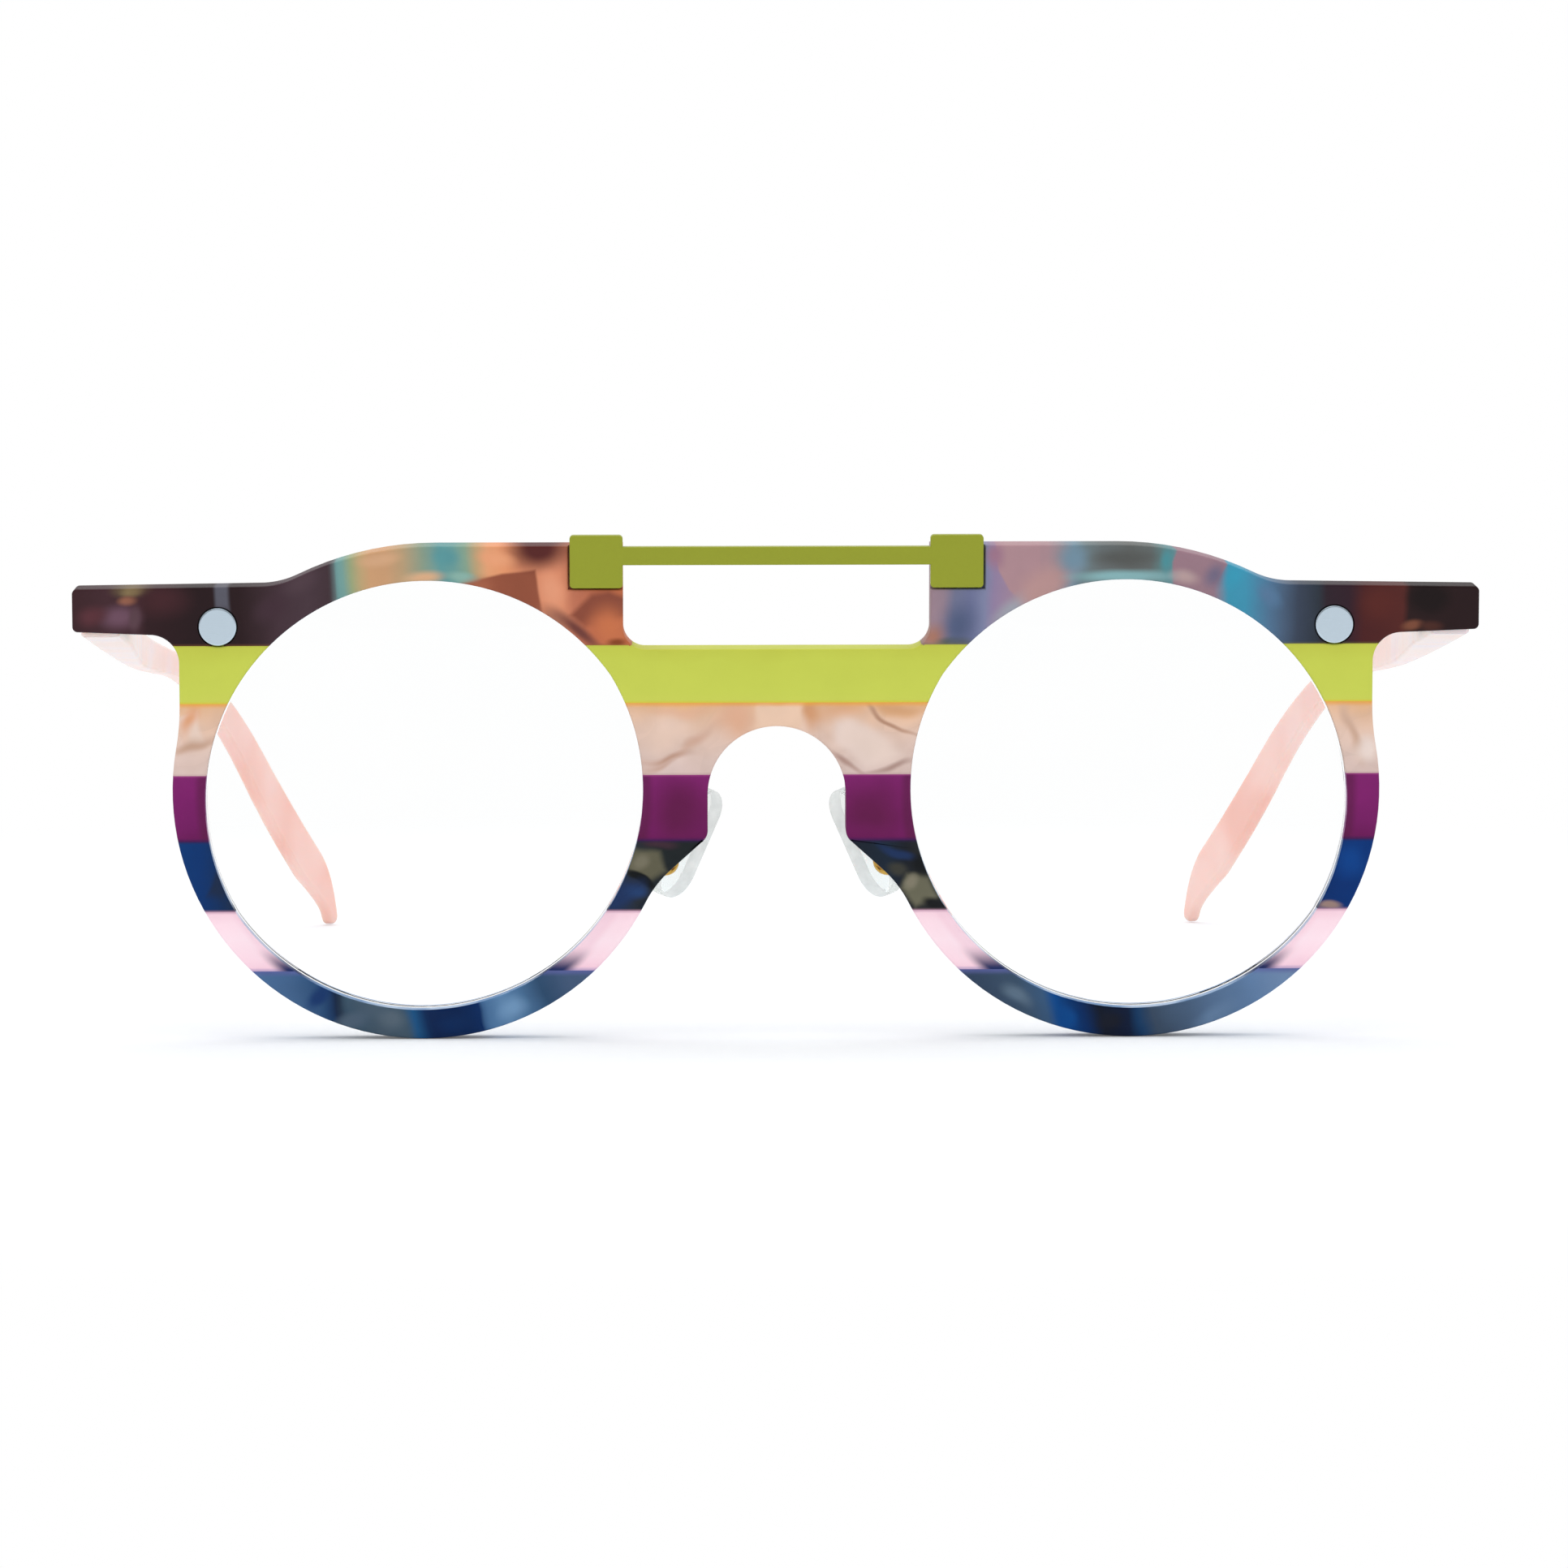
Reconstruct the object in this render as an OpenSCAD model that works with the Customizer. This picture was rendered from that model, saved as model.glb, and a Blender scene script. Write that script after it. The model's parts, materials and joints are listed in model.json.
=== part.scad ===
// Round eyeglasses: a flat front laminated from seven sheets of acetate, a folded metal
// top bar, riveted hinges, slim wire-cored temples and clear rocking nose pads.
// Everything is drawn with the front upright, its face at Y = 0 and its back towards +Y,
// and is then leaned forward as a whole, so that it stands on both rims and both tips.

/* [Front] */
// Thickness of the laminated sheet
front_t = 4; // [3.4:0.1:5]
// Lean of the standing front, its top towards the viewer
lean = 4.2; // [0:0.1:8]
// Half the gap between the two rims
rim_gap = 10.95; // [10.4:0.05:12]
// Outer radius of a rim, also the height of its centre
rim_r = 25.95; // [25.6:0.05:26.6]
// Height of the brow above a lens opening
brow_w = 2.95; // [2.5:0.05:3.6]
// Distance inwards from a rim's centre to where the brow's top starts to curve down
brow_flat_in = 1.4; // [1:0.1:3]
// Radius of the brow's shoulder
shoulder_r = 33; // [28:1:36]
// Radius of the hollow between shoulder and end piece
shoulder_hollow_r = 9; // [6:0.5:12]
// Fall from the brow's top to the end piece's top
shoulder_fall = 4.15; // [3.8:0.05:4.6]
// Length of an end piece past the upright side of the front
end_l = 11; // [9:0.5:13]
// Height of an end piece
end_h = 5.05; // [4.7:0.05:5.5]
// Fall of the top edge from the hollow to the end
end_fall = 0.25; // [0:0.05:0.6]
// Rise of the lower edge towards the end
end_rise = 0.3; // [0:0.05:0.6]
// Radius of the corners at the end
end_corner_r = 0.55; // [0.3:0.05:1]
// Inset of the upright side below the end piece from the rim's widest place
side_in = 0.85; // [0.5:0.05:1.1]
// Radius of the fillet under the end piece
end_fillet_r = 3; // [2:0.25:3.5]
// Radius of the hollow between the upright side and the rim
side_hollow_r = 25; // [15:1:30]

/* [Lens openings] */
// Width of a rim, from its outer edge to the arcs of its slightly oval opening
rim_w = 2.75; // [2.5:0.05:3.2]
// Distance of an opening's centre inwards from its rim's centre
eye_in = 0.2; // [0:0.05:0.4]
// Depth of an opening's centre below its rim's centre
eye_drop = 0.35; // [0.1:0.05:0.5]
// Distance of each arc's centre from the centre of the opening
eye_oval = 0.8; // [0.2:0.1:1.2]
// Tilt of the opening's long axis, rising towards the nose
eye_tilt = 33; // [0:1:45]
// Depth of the lens groove in the rim
groove_depth = 0.5; // [0.3:0.05:0.7]
// Width of the lens groove at the wall of the opening
groove_w = 1.4; // [1:0.1:1.8]
// Distance of the groove's middle behind the front face
groove_y = 2; // [1.7:0.1:2.3]
// Thickness of a lens
lens_t = 1.5; // [1:0.1:1.8]
// Radius of a lens's front surface
lens_curve_r = 200; // [150:10:300]
// Gap between a lens and the wall of its opening
lens_gap = 0.08; // [0.03:0.01:0.2]

/* [Bridge] */
// Half the width of the window under the top bar
window_half_w = 15.95; // [15:0.05:17]
// Depth of the window's sill below the brow's joint
sill_drop = 0.45; // [0.2:0.05:0.8]
// Radius of the window's lower corners
window_r = 2.3; // [1.5:0.1:3]
// Half the width of the nose arch
arch_r = 7.2; // [6.6:0.1:7.6]
// Height of the bridge between the window's sill and the top of the arch
bridge_h = 8.1; // [7.4:0.05:8.6]
// Depth of the foot of the arch's upright sides below the rims' centres
arch_foot_drop = 4.05; // [3.6:0.05:4.4]
// Radius of the corner at the foot of the arch
arch_foot_r = 1.5; // [1:0.1:2]
// Slope of the edge that runs outwards below the arch, from level
nasal_slope = 42; // [38:1:48]
// Radius of the hollow between that edge and the rim
nasal_hollow_r = 12; // [8:0.5:14]

/* [Layers] */
// Height of the slate sheet, at the foot of the front
slate_h = 7.2; // [6.5:0.05:8]
// Height of the blush sheet
blush_h = 6.3; // [5.8:0.05:6.8]
// Depth of the joint between navy and plum sheets below the rims' centres
plum_drop = 5.1; // [4.8:0.05:5.5]
// Height of the marble sheet
marble_h = 7.55; // [7:0.05:8]
// Height of the lime sheet
lime_h = 6.05; // [5.6:0.05:6.5]
// Depth of the joint between lime and brow sheets below the end pieces
brow_drop = 1.15; // [0.95:0.05:1.3]

/* [Top bar] */
// Side of the square pads at the bar's ends
clip_side = 5.5; // [5:0.1:6]
// Height that the square pads reach above the brow
clip_above = 1.1; // [0.5:0.05:1.3]
// Thickness of the plate that bar and pads are cut from
bar_t = 1.2; // [1:0.05:1.4]
// Depth to which the pads are let into the front of the brow
clip_sunk = 0.9; // [0.6:0.05:1]
// Gap round a pad in its milled seat
clip_gap = 0.15; // [0.1:0.05:0.4]
// Radius of the corners of bar and pads
clip_corner_r = 0.4; // [0.2:0.05:0.6]
// Height of the bar between the pads
bar_h = 1.9; // [1.6:0.05:2.4]
// Distance of the bar's top edge below the top of its pads
bar_drop = 1.2; // [0.8:0.05:1.6]
// Radius of the screw that holds a pad from behind
bar_screw_r = 0.7; // [0.6:0.05:0.8]
// Radius of that screw's head
bar_screw_head_r = 1.3; // [1:0.05:1.5]
// Thickness of that screw's head
bar_screw_head_t = 0.7; // [0.5:0.05:0.9]
// Metal left between the screw's tip and the face of the pad
bar_screw_cover = 0.4; // [0.3:0.05:0.5]

/* [Rivets] */
// Distance of a front rivet inwards from the upright side of the front
rivet_in = 4.05; // [3.6:0.05:4.4]
// Height of a front rivet above the lime sheet
rivet_up = 2; // [1.6:0.05:2.4]
// Radius of the rivet's disc head
rivet_head_r = 1.98; // [1.8:0.02:2.1]
// Thickness of the disc head
rivet_head_t = 0.85; // [0.6:0.05:1]
// Depth of the seat that is drilled for the head
rivet_seat = 0.7; // [0.5:0.05:0.8]
// Radius of the rivet's shank
rivet_r = 0.75; // [0.6:0.05:0.9]
// Radius of the closing head behind the hinge plate
rivet_tail_r = 1.2; // [1.05:0.05:1.4]
// Thickness of the closing head
rivet_tail_t = 0.45; // [0.3:0.05:0.6]
// Gap round a rivet's head in its seat
rivet_gap = 0.12; // [0.05:0.01:0.2]
// Gap round a shank or screw that is held in a hole
hold_gap = 0.02; // [0.01:0.01:0.05]

/* [Hinges] */
// Thickness of a hinge plate
plate_t = 0.8; // [0.6:0.05:1]
// Outer radius of a hinge knuckle
knuckle_r = 1.5; // [1.4:0.05:1.6]
// Length of one knuckle
knuckle_l = 1.5; // [1.3:0.05:1.55]
// Gap between knuckles, along the axis
knuckle_gap = 0.05; // [0.04:0.01:0.1]
// Height of the middle of the hinge above the end piece's lower edge
hinge_up = 1.95; // [1.9:0.05:2.05]
// Radius of the hinge screw
hinge_screw_r = 0.7; // [0.6:0.05:0.8]
// Running gap round the hinge screw
hinge_run_gap = 0.05; // [0.02:0.01:0.08]
// Radius of the hinge screw's head
hinge_head_r = 1.1; // [1:0.02:1.14]
// Thickness of the hinge screw's head
hinge_head_t = 0.5; // [0.4:0.05:0.6]
// Gap between a knuckle and the other leaf's plate
leaf_gap = 0.1; // [0.05:0.01:0.2]
// Distance the front leaf's plate reaches inwards past the rivet
leaf_reach = 1.9; // [1.5:0.1:2.5]
// Length of the temple leaf's plate behind the hinge axis
temple_leaf_l = 9; // [8:0.5:12]
// Height of the temple leaf's plate
temple_leaf_h = 3.2; // [2.6:0.1:3.4]

/* [Temples] */
// Inset of a temple's outer face from the end of the front
temple_inset = 0.5; // [0:0.1:1]
// Thickness of a temple at the hinge
temple_t0 = 4.1; // [3.6:0.1:4.4]
// Thickness of a temple where it starts to curve inwards
temple_t1 = 2; // [1.8:0.1:2.6]
// Thickness of a temple at its tip
temple_t2 = 1.4; // [1.2:0.1:1.8]
// Length from the butt over which a temple keeps its full thickness
temple_full_l = 16; // [14:1:20]
// Height of a temple at the hinge
temple_h0 = 5.1; // [4.6:0.1:5.2]
// Height of a temple at its ear bend
temple_h1 = 2.9; // [2.7:0.1:4]
// Height of the paddle near the tip
temple_h2 = 4.9; // [4.4:0.1:6]
// Gap between the temple's butt and the back of the front
butt_gap = 0.15; // [0.1:0.05:0.3]
// Fall of the straight part, from square to the front
temple_fall = 10.6; // [9:0.1:12]
// Length of the straight part
temple_straight = 83; // [75:0.5:90]
// Radius of the ear bend
ear_bend_r = 65; // [40:1:80]
// Angle of the ear bend
ear_bend = 33; // [30:0.5:38]
// Height of the paddle's middle line over the ground where the tip turns down
tip_rise = 3.3; // [2.8:0.1:4]
// Width of the rounded foot at the tip
tip_w = 1.7; // [1.4:0.1:2.4]
// Length over which a temple runs straight back, seen from above
flat_l = 55; // [45:1:70]
// Radius of the inward curve behind it
inward_r = 187; // [150:1:220]
// Width of the square core wire
core_w = 1; // [0.8:0.05:1.1]
// Radius of a temple rivet
temple_rivet_r = 0.6; // [0.5:0.05:0.7]
// Radius of a temple rivet's heads
temple_rivet_head_r = 1.1; // [0.9:0.05:1.3]
// Thickness of a temple rivet's heads
temple_rivet_head_t = 0.35; // [0.25:0.05:0.5]
// Distance between the two rivets of a temple
temple_rivet_pitch = 4.2; // [3.6:0.1:4.6]

/* [Nose pads] */
// Distance of a pad's pivot outwards from the side of the nose arch
pad_out = 4.2; // [3.8:0.1:4.6]
// Distance of the pivot behind the back of the front
pad_back = 4.5; // [4.2:0.1:5.2]
// Depth of the pivot below the arch's upright sides
pad_drop = 1.6; // [1:0.1:2.2]
// Slant of a pad, its top towards the middle
pad_slant = 27; // [20:1:32]
// Opening of the pads towards the face
pad_splay = 28; // [20:1:35]
// Length of a pad
pad_l = 12.4; // [11.5:0.1:13.5]
// Radius of a pad's lower end
pad_r_low = 3.3; // [3:0.1:3.6]
// Radius of a pad's upper end
pad_r_top = 2.5; // [2.2:0.1:2.8]
// Thickness of a pad
pad_t = 1.7; // [1.4:0.1:2]
// Distance from a pad's back to its pivot
pad_lug_l = 1.7; // [1.6:0.1:1.9]
// Thickness of the pad's lug, along the pivot
pad_lug_t = 1.5; // [1.2:0.1:1.8]
// Radius of the lug's round end
pad_lug_r = 0.8; // [0.7:0.05:0.9]
// Thickness of an ear of the pad box
ear_t = 0.4; // [0.3:0.05:0.6]
// Gap beside the lug, between the ears
ear_gap = 0.12; // [0.08:0.01:0.2]
// Radius of the pad screw
pad_screw_r = 0.35; // [0.3:0.01:0.4]
// Running gap round the pad screw
pad_run_gap = 0.05; // [0.02:0.01:0.08]
// Radius of the pad screw's heads
pad_screw_head_r = 0.65; // [0.55:0.05:0.7]
// Radius of the pad arm's wire
arm_r = 0.45; // [0.35:0.05:0.45]
// Distance of the arm's foot along the slope below the arch
foot_along = 6.3; // [6:0.1:6.6]
// Distance of the foot's middle inside that slope's edge
foot_in = 1.3; // [1.2:0.05:1.5]
// Width of the foot
foot_w = 2.2; // [1.8:0.1:2.4]
// Length of the foot
foot_l = 4.4; // [3.6:0.1:5]
// Thickness of the foot
foot_t = 0.7; // [0.5:0.05:0.9]
// Clearance behind the lug, inside the box
box_clear = 0.35; // [0.2:0.05:0.5]
// How far the box reaches down past the lug, for the wire
box_drop = 0.8; // [0.7:0.05:1]
// Distance of the wire's bow from the pivot towards the nose
bow_in = 0.7; // [0.5:0.05:0.9]
// Distance of the bow in front of the pivot
bow_front = 2.4; // [2.1:0.1:2.6]
// Depth of the bow below the pivot
bow_drop = 2.9; // [2.7:0.1:3.1]

/* [Hidden] */

left = -1;
right = 1;
over = 1;             // how far a cutter reaches past what it cuts
arc_step = 3;         // angle between the points of an outline's arcs
round_fn = 96;

// Points on an arc from angle a0 to angle a1, both ends included
function arc_pts(c, r, a0, a1) =
    let (n = max(1, ceil(abs(a1 - a0) / arc_step)))
    [for (i = [0:n]) let (a = a0 + (a1 - a0) * i / n) c + r * [cos(a), sin(a)]];

// Places of rims, lens openings, brow and end pieces, from the rims outwards and upwards
rim_x = rim_gap + rim_r;
rim_c = [rim_x, rim_r];
eye_x = rim_x - eye_in;
eye_h = rim_r - eye_drop;
eye_r = rim_r - rim_w;
brow_top_h = eye_h + eye_r + brow_w;
brow_flat_x = rim_x - brow_flat_in;
side_x = rim_x + rim_r - side_in;
front_half_w = side_x + end_l;
end_top_h = brow_top_h - shoulder_fall;
end_low_h = end_top_h - end_h;

// Heights of the joints between the sheets
slate_top_h = slate_h;
blush_top_h = slate_top_h + blush_h;
navy_top_h = rim_r - plum_drop;
lime_top_h = end_low_h - brow_drop;
marble_top_h = lime_top_h - lime_h;
plum_top_h = marble_top_h - marble_h;

// The bridge, from its sill down to the foot of the arch
sill_h = lime_top_h - sill_drop;
arch_h = sill_h - bridge_h - arch_r;
arch_foot_h = rim_r - arch_foot_drop;

// Outline of the right half of the front, from the top of the arch round to the window's sill

// The edge below the arch: a corner, a straight slope, a hollow, then the rim
foot_c = [arch_r + arch_foot_r, arch_foot_h];
slope_start = foot_c + arch_foot_r * [cos(270 - nasal_slope), sin(270 - nasal_slope)];
slope_dir = [cos(nasal_slope), -sin(nasal_slope)];
slope_out = [-sin(nasal_slope), -cos(nasal_slope)];
hollow_from = slope_start + nasal_hollow_r * slope_out - rim_c;
hollow_along = hollow_from * slope_dir;
hollow_s = -hollow_along
    - sqrt(hollow_along * hollow_along - hollow_from * hollow_from + pow(rim_r + nasal_hollow_r, 2));
nasal_c = slope_start + hollow_s * slope_dir + nasal_hollow_r * slope_out;
nasal_meet = atan2(nasal_c[1] - rim_c[1], nasal_c[0] - rim_c[0]) + 360;

// The outer side: rim, hollow, upright side, fillet and end piece
side_reach = side_x + side_hollow_r - rim_x;
side_c = [side_x + side_hollow_r, rim_r + sqrt(pow(rim_r + side_hollow_r, 2) - side_reach * side_reach)];
side_meet = atan2(side_c[1] - rim_c[1], side_c[0] - rim_c[0]);
fillet_c = [side_x + end_fillet_r, end_low_h - end_fillet_r];
end_top_end_h = end_top_h - end_fall;

// The shoulder: a hollow and a round of which the centres set the turn
shoulder_turn = acos(1 - (brow_top_h - end_top_h) / (shoulder_r + shoulder_hollow_r));
shoulder_c = [brow_flat_x, brow_top_h - shoulder_r];
hollow_c = [
    brow_flat_x + (shoulder_r + shoulder_hollow_r) * sin(shoulder_turn),
    end_top_h + shoulder_hollow_r
];

half_outline = concat(
    arc_pts([0, arch_h], arch_r, 90, 0),
    arc_pts(foot_c, arch_foot_r, 180, 270 - nasal_slope),
    arc_pts(nasal_c, nasal_hollow_r, 90 - nasal_slope, nasal_meet - 180),
    arc_pts(rim_c, rim_r, nasal_meet, 360 + side_meet),
    arc_pts(side_c, side_hollow_r, 180 + side_meet, 180),
    arc_pts(fillet_c, end_fillet_r, 180, 90),
    arc_pts([front_half_w - end_corner_r, end_low_h + end_rise + end_corner_r], end_corner_r, -90, 0),
    arc_pts([front_half_w - end_corner_r, end_top_end_h - end_corner_r], end_corner_r, 0, 90),
    arc_pts(hollow_c, shoulder_hollow_r, 270, 270 - shoulder_turn),
    arc_pts(shoulder_c, shoulder_r, 90 - shoulder_turn, 90),
    [[window_half_w, brow_top_h]],
    arc_pts([window_half_w - window_r, sill_h + window_r], window_r, 0, -90)
);

// The whole outline: the right half, then the left half run backwards
function mirrored(pts) = [for (i = [len(pts) - 1:-1:1]) [-pts[i][0], pts[i][1]]];
front_outline = concat(half_outline, mirrored(half_outline));

// Leans the glasses forward and puts their middle, front to back, at Y = 0
module standing() {
    translate([0, -stand_y, 0]) rotate([lean, 0, 0]) children();
}

// Stands a flat drawing up, its face at Y = y0, t thick towards +Y
module upright(y0, t) {
    translate([0, y0 + t, 0]) rotate([90, 0, 0]) linear_extrude(t) children();
}

// Mirrors a right-hand piece for the left side
module on_side(side) {
    mirror([side == left ? 1 : 0, 0, 0]) children();
}

// A disc with a V edge, turned about the axis of one of the opening's arcs
module bevelled_disc(r, v_depth, v_half, half_t) {
    rotate_extrude($fn = round_fn) polygon([
        [0, -half_t], [r, -half_t], [r, -v_half], [r + v_depth, 0],
        [r, v_half], [r, half_t], [0, half_t]
    ]);
}

// The oval opening is where two such discs, shifted apart, overlap; it stands upright at groove_y
module bevelled_eye(grow, v_depth, v_half, half_t) {
    translate([eye_x, groove_y, eye_h]) rotate([90, 0, 0]) rotate(90 - eye_tilt) intersection() {
        translate([eye_oval, 0, 0]) bevelled_disc(eye_r + grow, v_depth, v_half, half_t);
        translate([-eye_oval, 0, 0]) bevelled_disc(eye_r + grow, v_depth, v_half, half_t);
    }
}

// A block of the front between two heights and two distances from the middle
module sheet_part(x0, x1, z0, z1) {
    upright(0, front_t) intersection() {
        polygon(front_outline);
        translate([x0, z0]) square([x1 - x0, z1 - z0]);
    }
}

// Removes the lens opening and its groove on one side
module without_eye(side) {
    difference() {
        children();
        on_side(side) bevelled_eye(0, groove_depth, groove_w / 2, front_t);
    }
}

rivet_x = side_x - rivet_in;
rivet_h = lime_top_h + rivet_up;

// Places something on a front rivet's axis, looking along +Y
module at_rivet(y) {
    translate([rivet_x, y, rivet_h]) rotate([-90, 0, 0]) children();
}

// Hole and seat for a front rivet
module rivet_hole() {
    at_rivet(-over) cylinder(r = rivet_head_r + rivet_gap, h = over + rivet_seat, $fn = round_fn);
    at_rivet(0) cylinder(r = rivet_r + hold_gap, h = front_t + over, $fn = round_fn);
}

// Outer piece of a middle sheet
module outer_piece(side, z0, z1) {
    standing() without_eye(side) on_side(side) sheet_part(eye_x, front_half_w + over, z0, z1);
}

// Inner piece of a middle sheet, beside the nose
module inner_piece(side, z0, z1) {
    standing() without_eye(side) on_side(side) sheet_part(0, eye_x, z0, z1);
}

// Piece of a sheet that runs across the bridge
module bridge_piece(z0, z1) {
    standing() without_eye(left) without_eye(right) sheet_part(-eye_x, eye_x, z0, z1);
}

// Square pad at the end of the top bar: its corners and its middle
clip_top_h = brow_top_h + clip_above;
clip_low_h = clip_top_h - clip_side;
clip_mid = [window_half_w + clip_side / 2, (clip_top_h + clip_low_h) / 2];

// Seat of the pad, milled into the front of the brow
module clip_seat() {
    translate([window_half_w - over, -over, clip_low_h - clip_gap])
        cube([clip_side + clip_gap + over, over + clip_sunk, clip_side + clip_gap + over]);
}

// Places something on a bar screw's axis, looking from the face to the back
module at_bar_screw(y) {
    translate([clip_mid[0], y, clip_mid[1]]) rotate([-90, 0, 0]) children();
}

bar_face_y = clip_sunk - bar_t;
bar_screw_tip_y = bar_face_y + bar_screw_cover;

// Hole for a bar screw, wider at the back for its head
module bar_screw_hole() {
    at_bar_screw(bar_screw_tip_y) cylinder(r = bar_screw_r + hold_gap, h = front_t + over, $fn = round_fn);
    at_bar_screw(front_t - bar_screw_head_t)
        cylinder(r = bar_screw_head_r + rivet_gap, h = bar_screw_head_t + over, $fn = round_fn);
}

module brow(side) {
    color(side == left ? "#5a3436" : "#7a6476") standing() difference() {
        without_eye(side) on_side(side) sheet_part(0, front_half_w + over, lime_top_h, brow_top_h + over);
        on_side(side) rivet_hole();
        on_side(side) clip_seat();
        on_side(side) bar_screw_hole();
    }
}

module lime_outer(side) {
    color("#c8d058") standing() difference() {
        without_eye(side) on_side(side)
            sheet_part(eye_x, front_half_w + over, marble_top_h, lime_top_h);
        on_side(side) rivet_hole();
    }
}

module lime_bridge() {
    color("#c8d058") bridge_piece(marble_top_h, lime_top_h);
}

module marble_outer(side) {
    color("#dcb8a4") outer_piece(side, plum_top_h, marble_top_h);
}

module marble_bridge() {
    color("#dcb8a4") bridge_piece(plum_top_h, marble_top_h);
}

module plum_outer(side) {
    color("#6c1c58") outer_piece(side, navy_top_h, plum_top_h);
}

module plum_inner(side) {
    color("#6c1c58") inner_piece(side, navy_top_h, plum_top_h);
}

module navy_outer(side) {
    color("#0a3a7c") outer_piece(side, blush_top_h, navy_top_h);
}

module navy_inner(side) {
    color("#1c2430") inner_piece(side, blush_top_h, navy_top_h);
}

module blush_outer(side) {
    color("#f8d4e0") outer_piece(side, slate_top_h, blush_top_h);
}

module blush_inner(side) {
    color("#f8d4e0") inner_piece(side, slate_top_h, blush_top_h);
}

// The lowest piece runs under the lens in one curve
module slate(side) {
    color("#34506c") standing() without_eye(side) on_side(side)
        sheet_part(0, front_half_w, -over, slate_top_h);
}

// Outline of the right half of the top bar, from the middle of its lower edge round to the top
bar_top_h = clip_top_h - bar_drop;
clip_end_x = window_half_w + clip_side;
bar_half = concat(
    [[0, bar_top_h - bar_h], [window_half_w, bar_top_h - bar_h]],
    arc_pts([window_half_w + clip_corner_r, clip_low_h + clip_corner_r], clip_corner_r, 180, 270),
    arc_pts([clip_end_x - clip_corner_r, clip_low_h + clip_corner_r], clip_corner_r, -90, 0),
    arc_pts([clip_end_x - clip_corner_r, clip_top_h - clip_corner_r], clip_corner_r, 0, 90),
    arc_pts([window_half_w + clip_corner_r, clip_top_h - clip_corner_r], clip_corner_r, 90, 180),
    [[window_half_w, bar_top_h]]
);

module top_bar() {
    color("#949c30") standing() difference() {
        upright(bar_face_y, bar_t) polygon(concat(bar_half, mirrored(bar_half)));
        for (side = [left, right]) {
            on_side(side) bar_screw_hole();
        }
    }
}

// A round fixing turned in one piece: head, shank and tail, its head at z = 0
module turned(head_r, head_t, shank_r, shank_l, tail_r, tail_t) {
    rotate_extrude($fn = round_fn) polygon([
        [0, 0], [head_r, 0], [head_r, head_t], [shank_r, head_t],
        [shank_r, head_t + shank_l], [tail_r, head_t + shank_l],
        [tail_r, head_t + shank_l + tail_t], [0, head_t + shank_l + tail_t]
    ]);
}

// A screw: a head at z = 0 and a plain shank behind it
module screw(head_r, head_t, shank_r, shank_l) {
    rotate_extrude($fn = round_fn) polygon([
        [0, 0], [head_r, 0], [head_r, head_t], [shank_r, head_t],
        [shank_r, head_t + shank_l], [0, head_t + shank_l]
    ]);
}

// Screw from behind through the brow into a pad of the bar
module bar_screw(side) {
    color("silver") standing() on_side(side) translate([clip_mid[0], front_t, clip_mid[1]]) rotate([90, 0, 0])
        screw(bar_screw_head_r, bar_screw_head_t, bar_screw_r, front_t - bar_screw_head_t - bar_screw_tip_y);
}

// A curved clear lens whose V edge sits in the groove
module lens(side) {
    v = groove_depth - lens_gap;
    edge_drop = lens_curve_r - sqrt(lens_curve_r * lens_curve_r - eye_r * eye_r);
    front_c = groove_y - lens_t / 2 - edge_drop + lens_curve_r;
    color("#e8f4f8", 0.3) standing() on_side(side) intersection() {
        bevelled_eye(-lens_gap, v, groove_w / 2 - lens_gap, front_t);
        difference() {
            translate([eye_x, front_c, eye_h]) sphere(lens_curve_r, $fn = round_fn);
            translate([eye_x, front_c + lens_t, eye_h]) sphere(lens_curve_r, $fn = round_fn);
        }
    }
}

// Rivet through the brow and the front leaf, closed behind the leaf
module front_rivet(side) {
    color("#c8d8e4") standing() on_side(side) at_rivet(rivet_seat - rivet_head_t)
        turned(rivet_head_r, rivet_head_t, rivet_r, front_t - rivet_seat + plate_t, rivet_tail_r, rivet_tail_t);
}

// Hinge axis: just clear of both leaves' plates
hinge_h = end_low_h + hinge_up;
temple_in_x = front_half_w - temple_inset - temple_t0;
hinge_x = temple_in_x - plate_t - leaf_gap - knuckle_r;
hinge_y = front_t + plate_t + leaf_gap + knuckle_r;
knuckle_pitch = knuckle_l + knuckle_gap;
hinge_low = hinge_h - 1.5 * knuckle_l - knuckle_gap;
hinge_top = hinge_h + 1.5 * knuckle_l + knuckle_gap;

// One knuckle by number from below, with a web that reaches out to its plate
module knuckle(i, reach, web_turn) {
    translate([hinge_x, hinge_y, hinge_low + i * knuckle_pitch]) {
        cylinder(r = knuckle_r, h = knuckle_l, $fn = round_fn);
        rotate(web_turn) translate([0, -knuckle_r * 0.65, 0]) cube([reach, knuckle_r * 1.3, knuckle_l]);
    }
}

module hinge_bore() {
    translate([hinge_x, hinge_y, hinge_low - over])
        cylinder(r = hinge_screw_r + hinge_run_gap, h = hinge_top - hinge_low + 2 * over, $fn = round_fn);
}

module hinge_head_seat() {
    translate([hinge_x, hinge_y, hinge_top - hinge_head_t])
        cylinder(r = hinge_head_r + hold_gap, h = hinge_head_t + over, $fn = round_fn);
}

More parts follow.
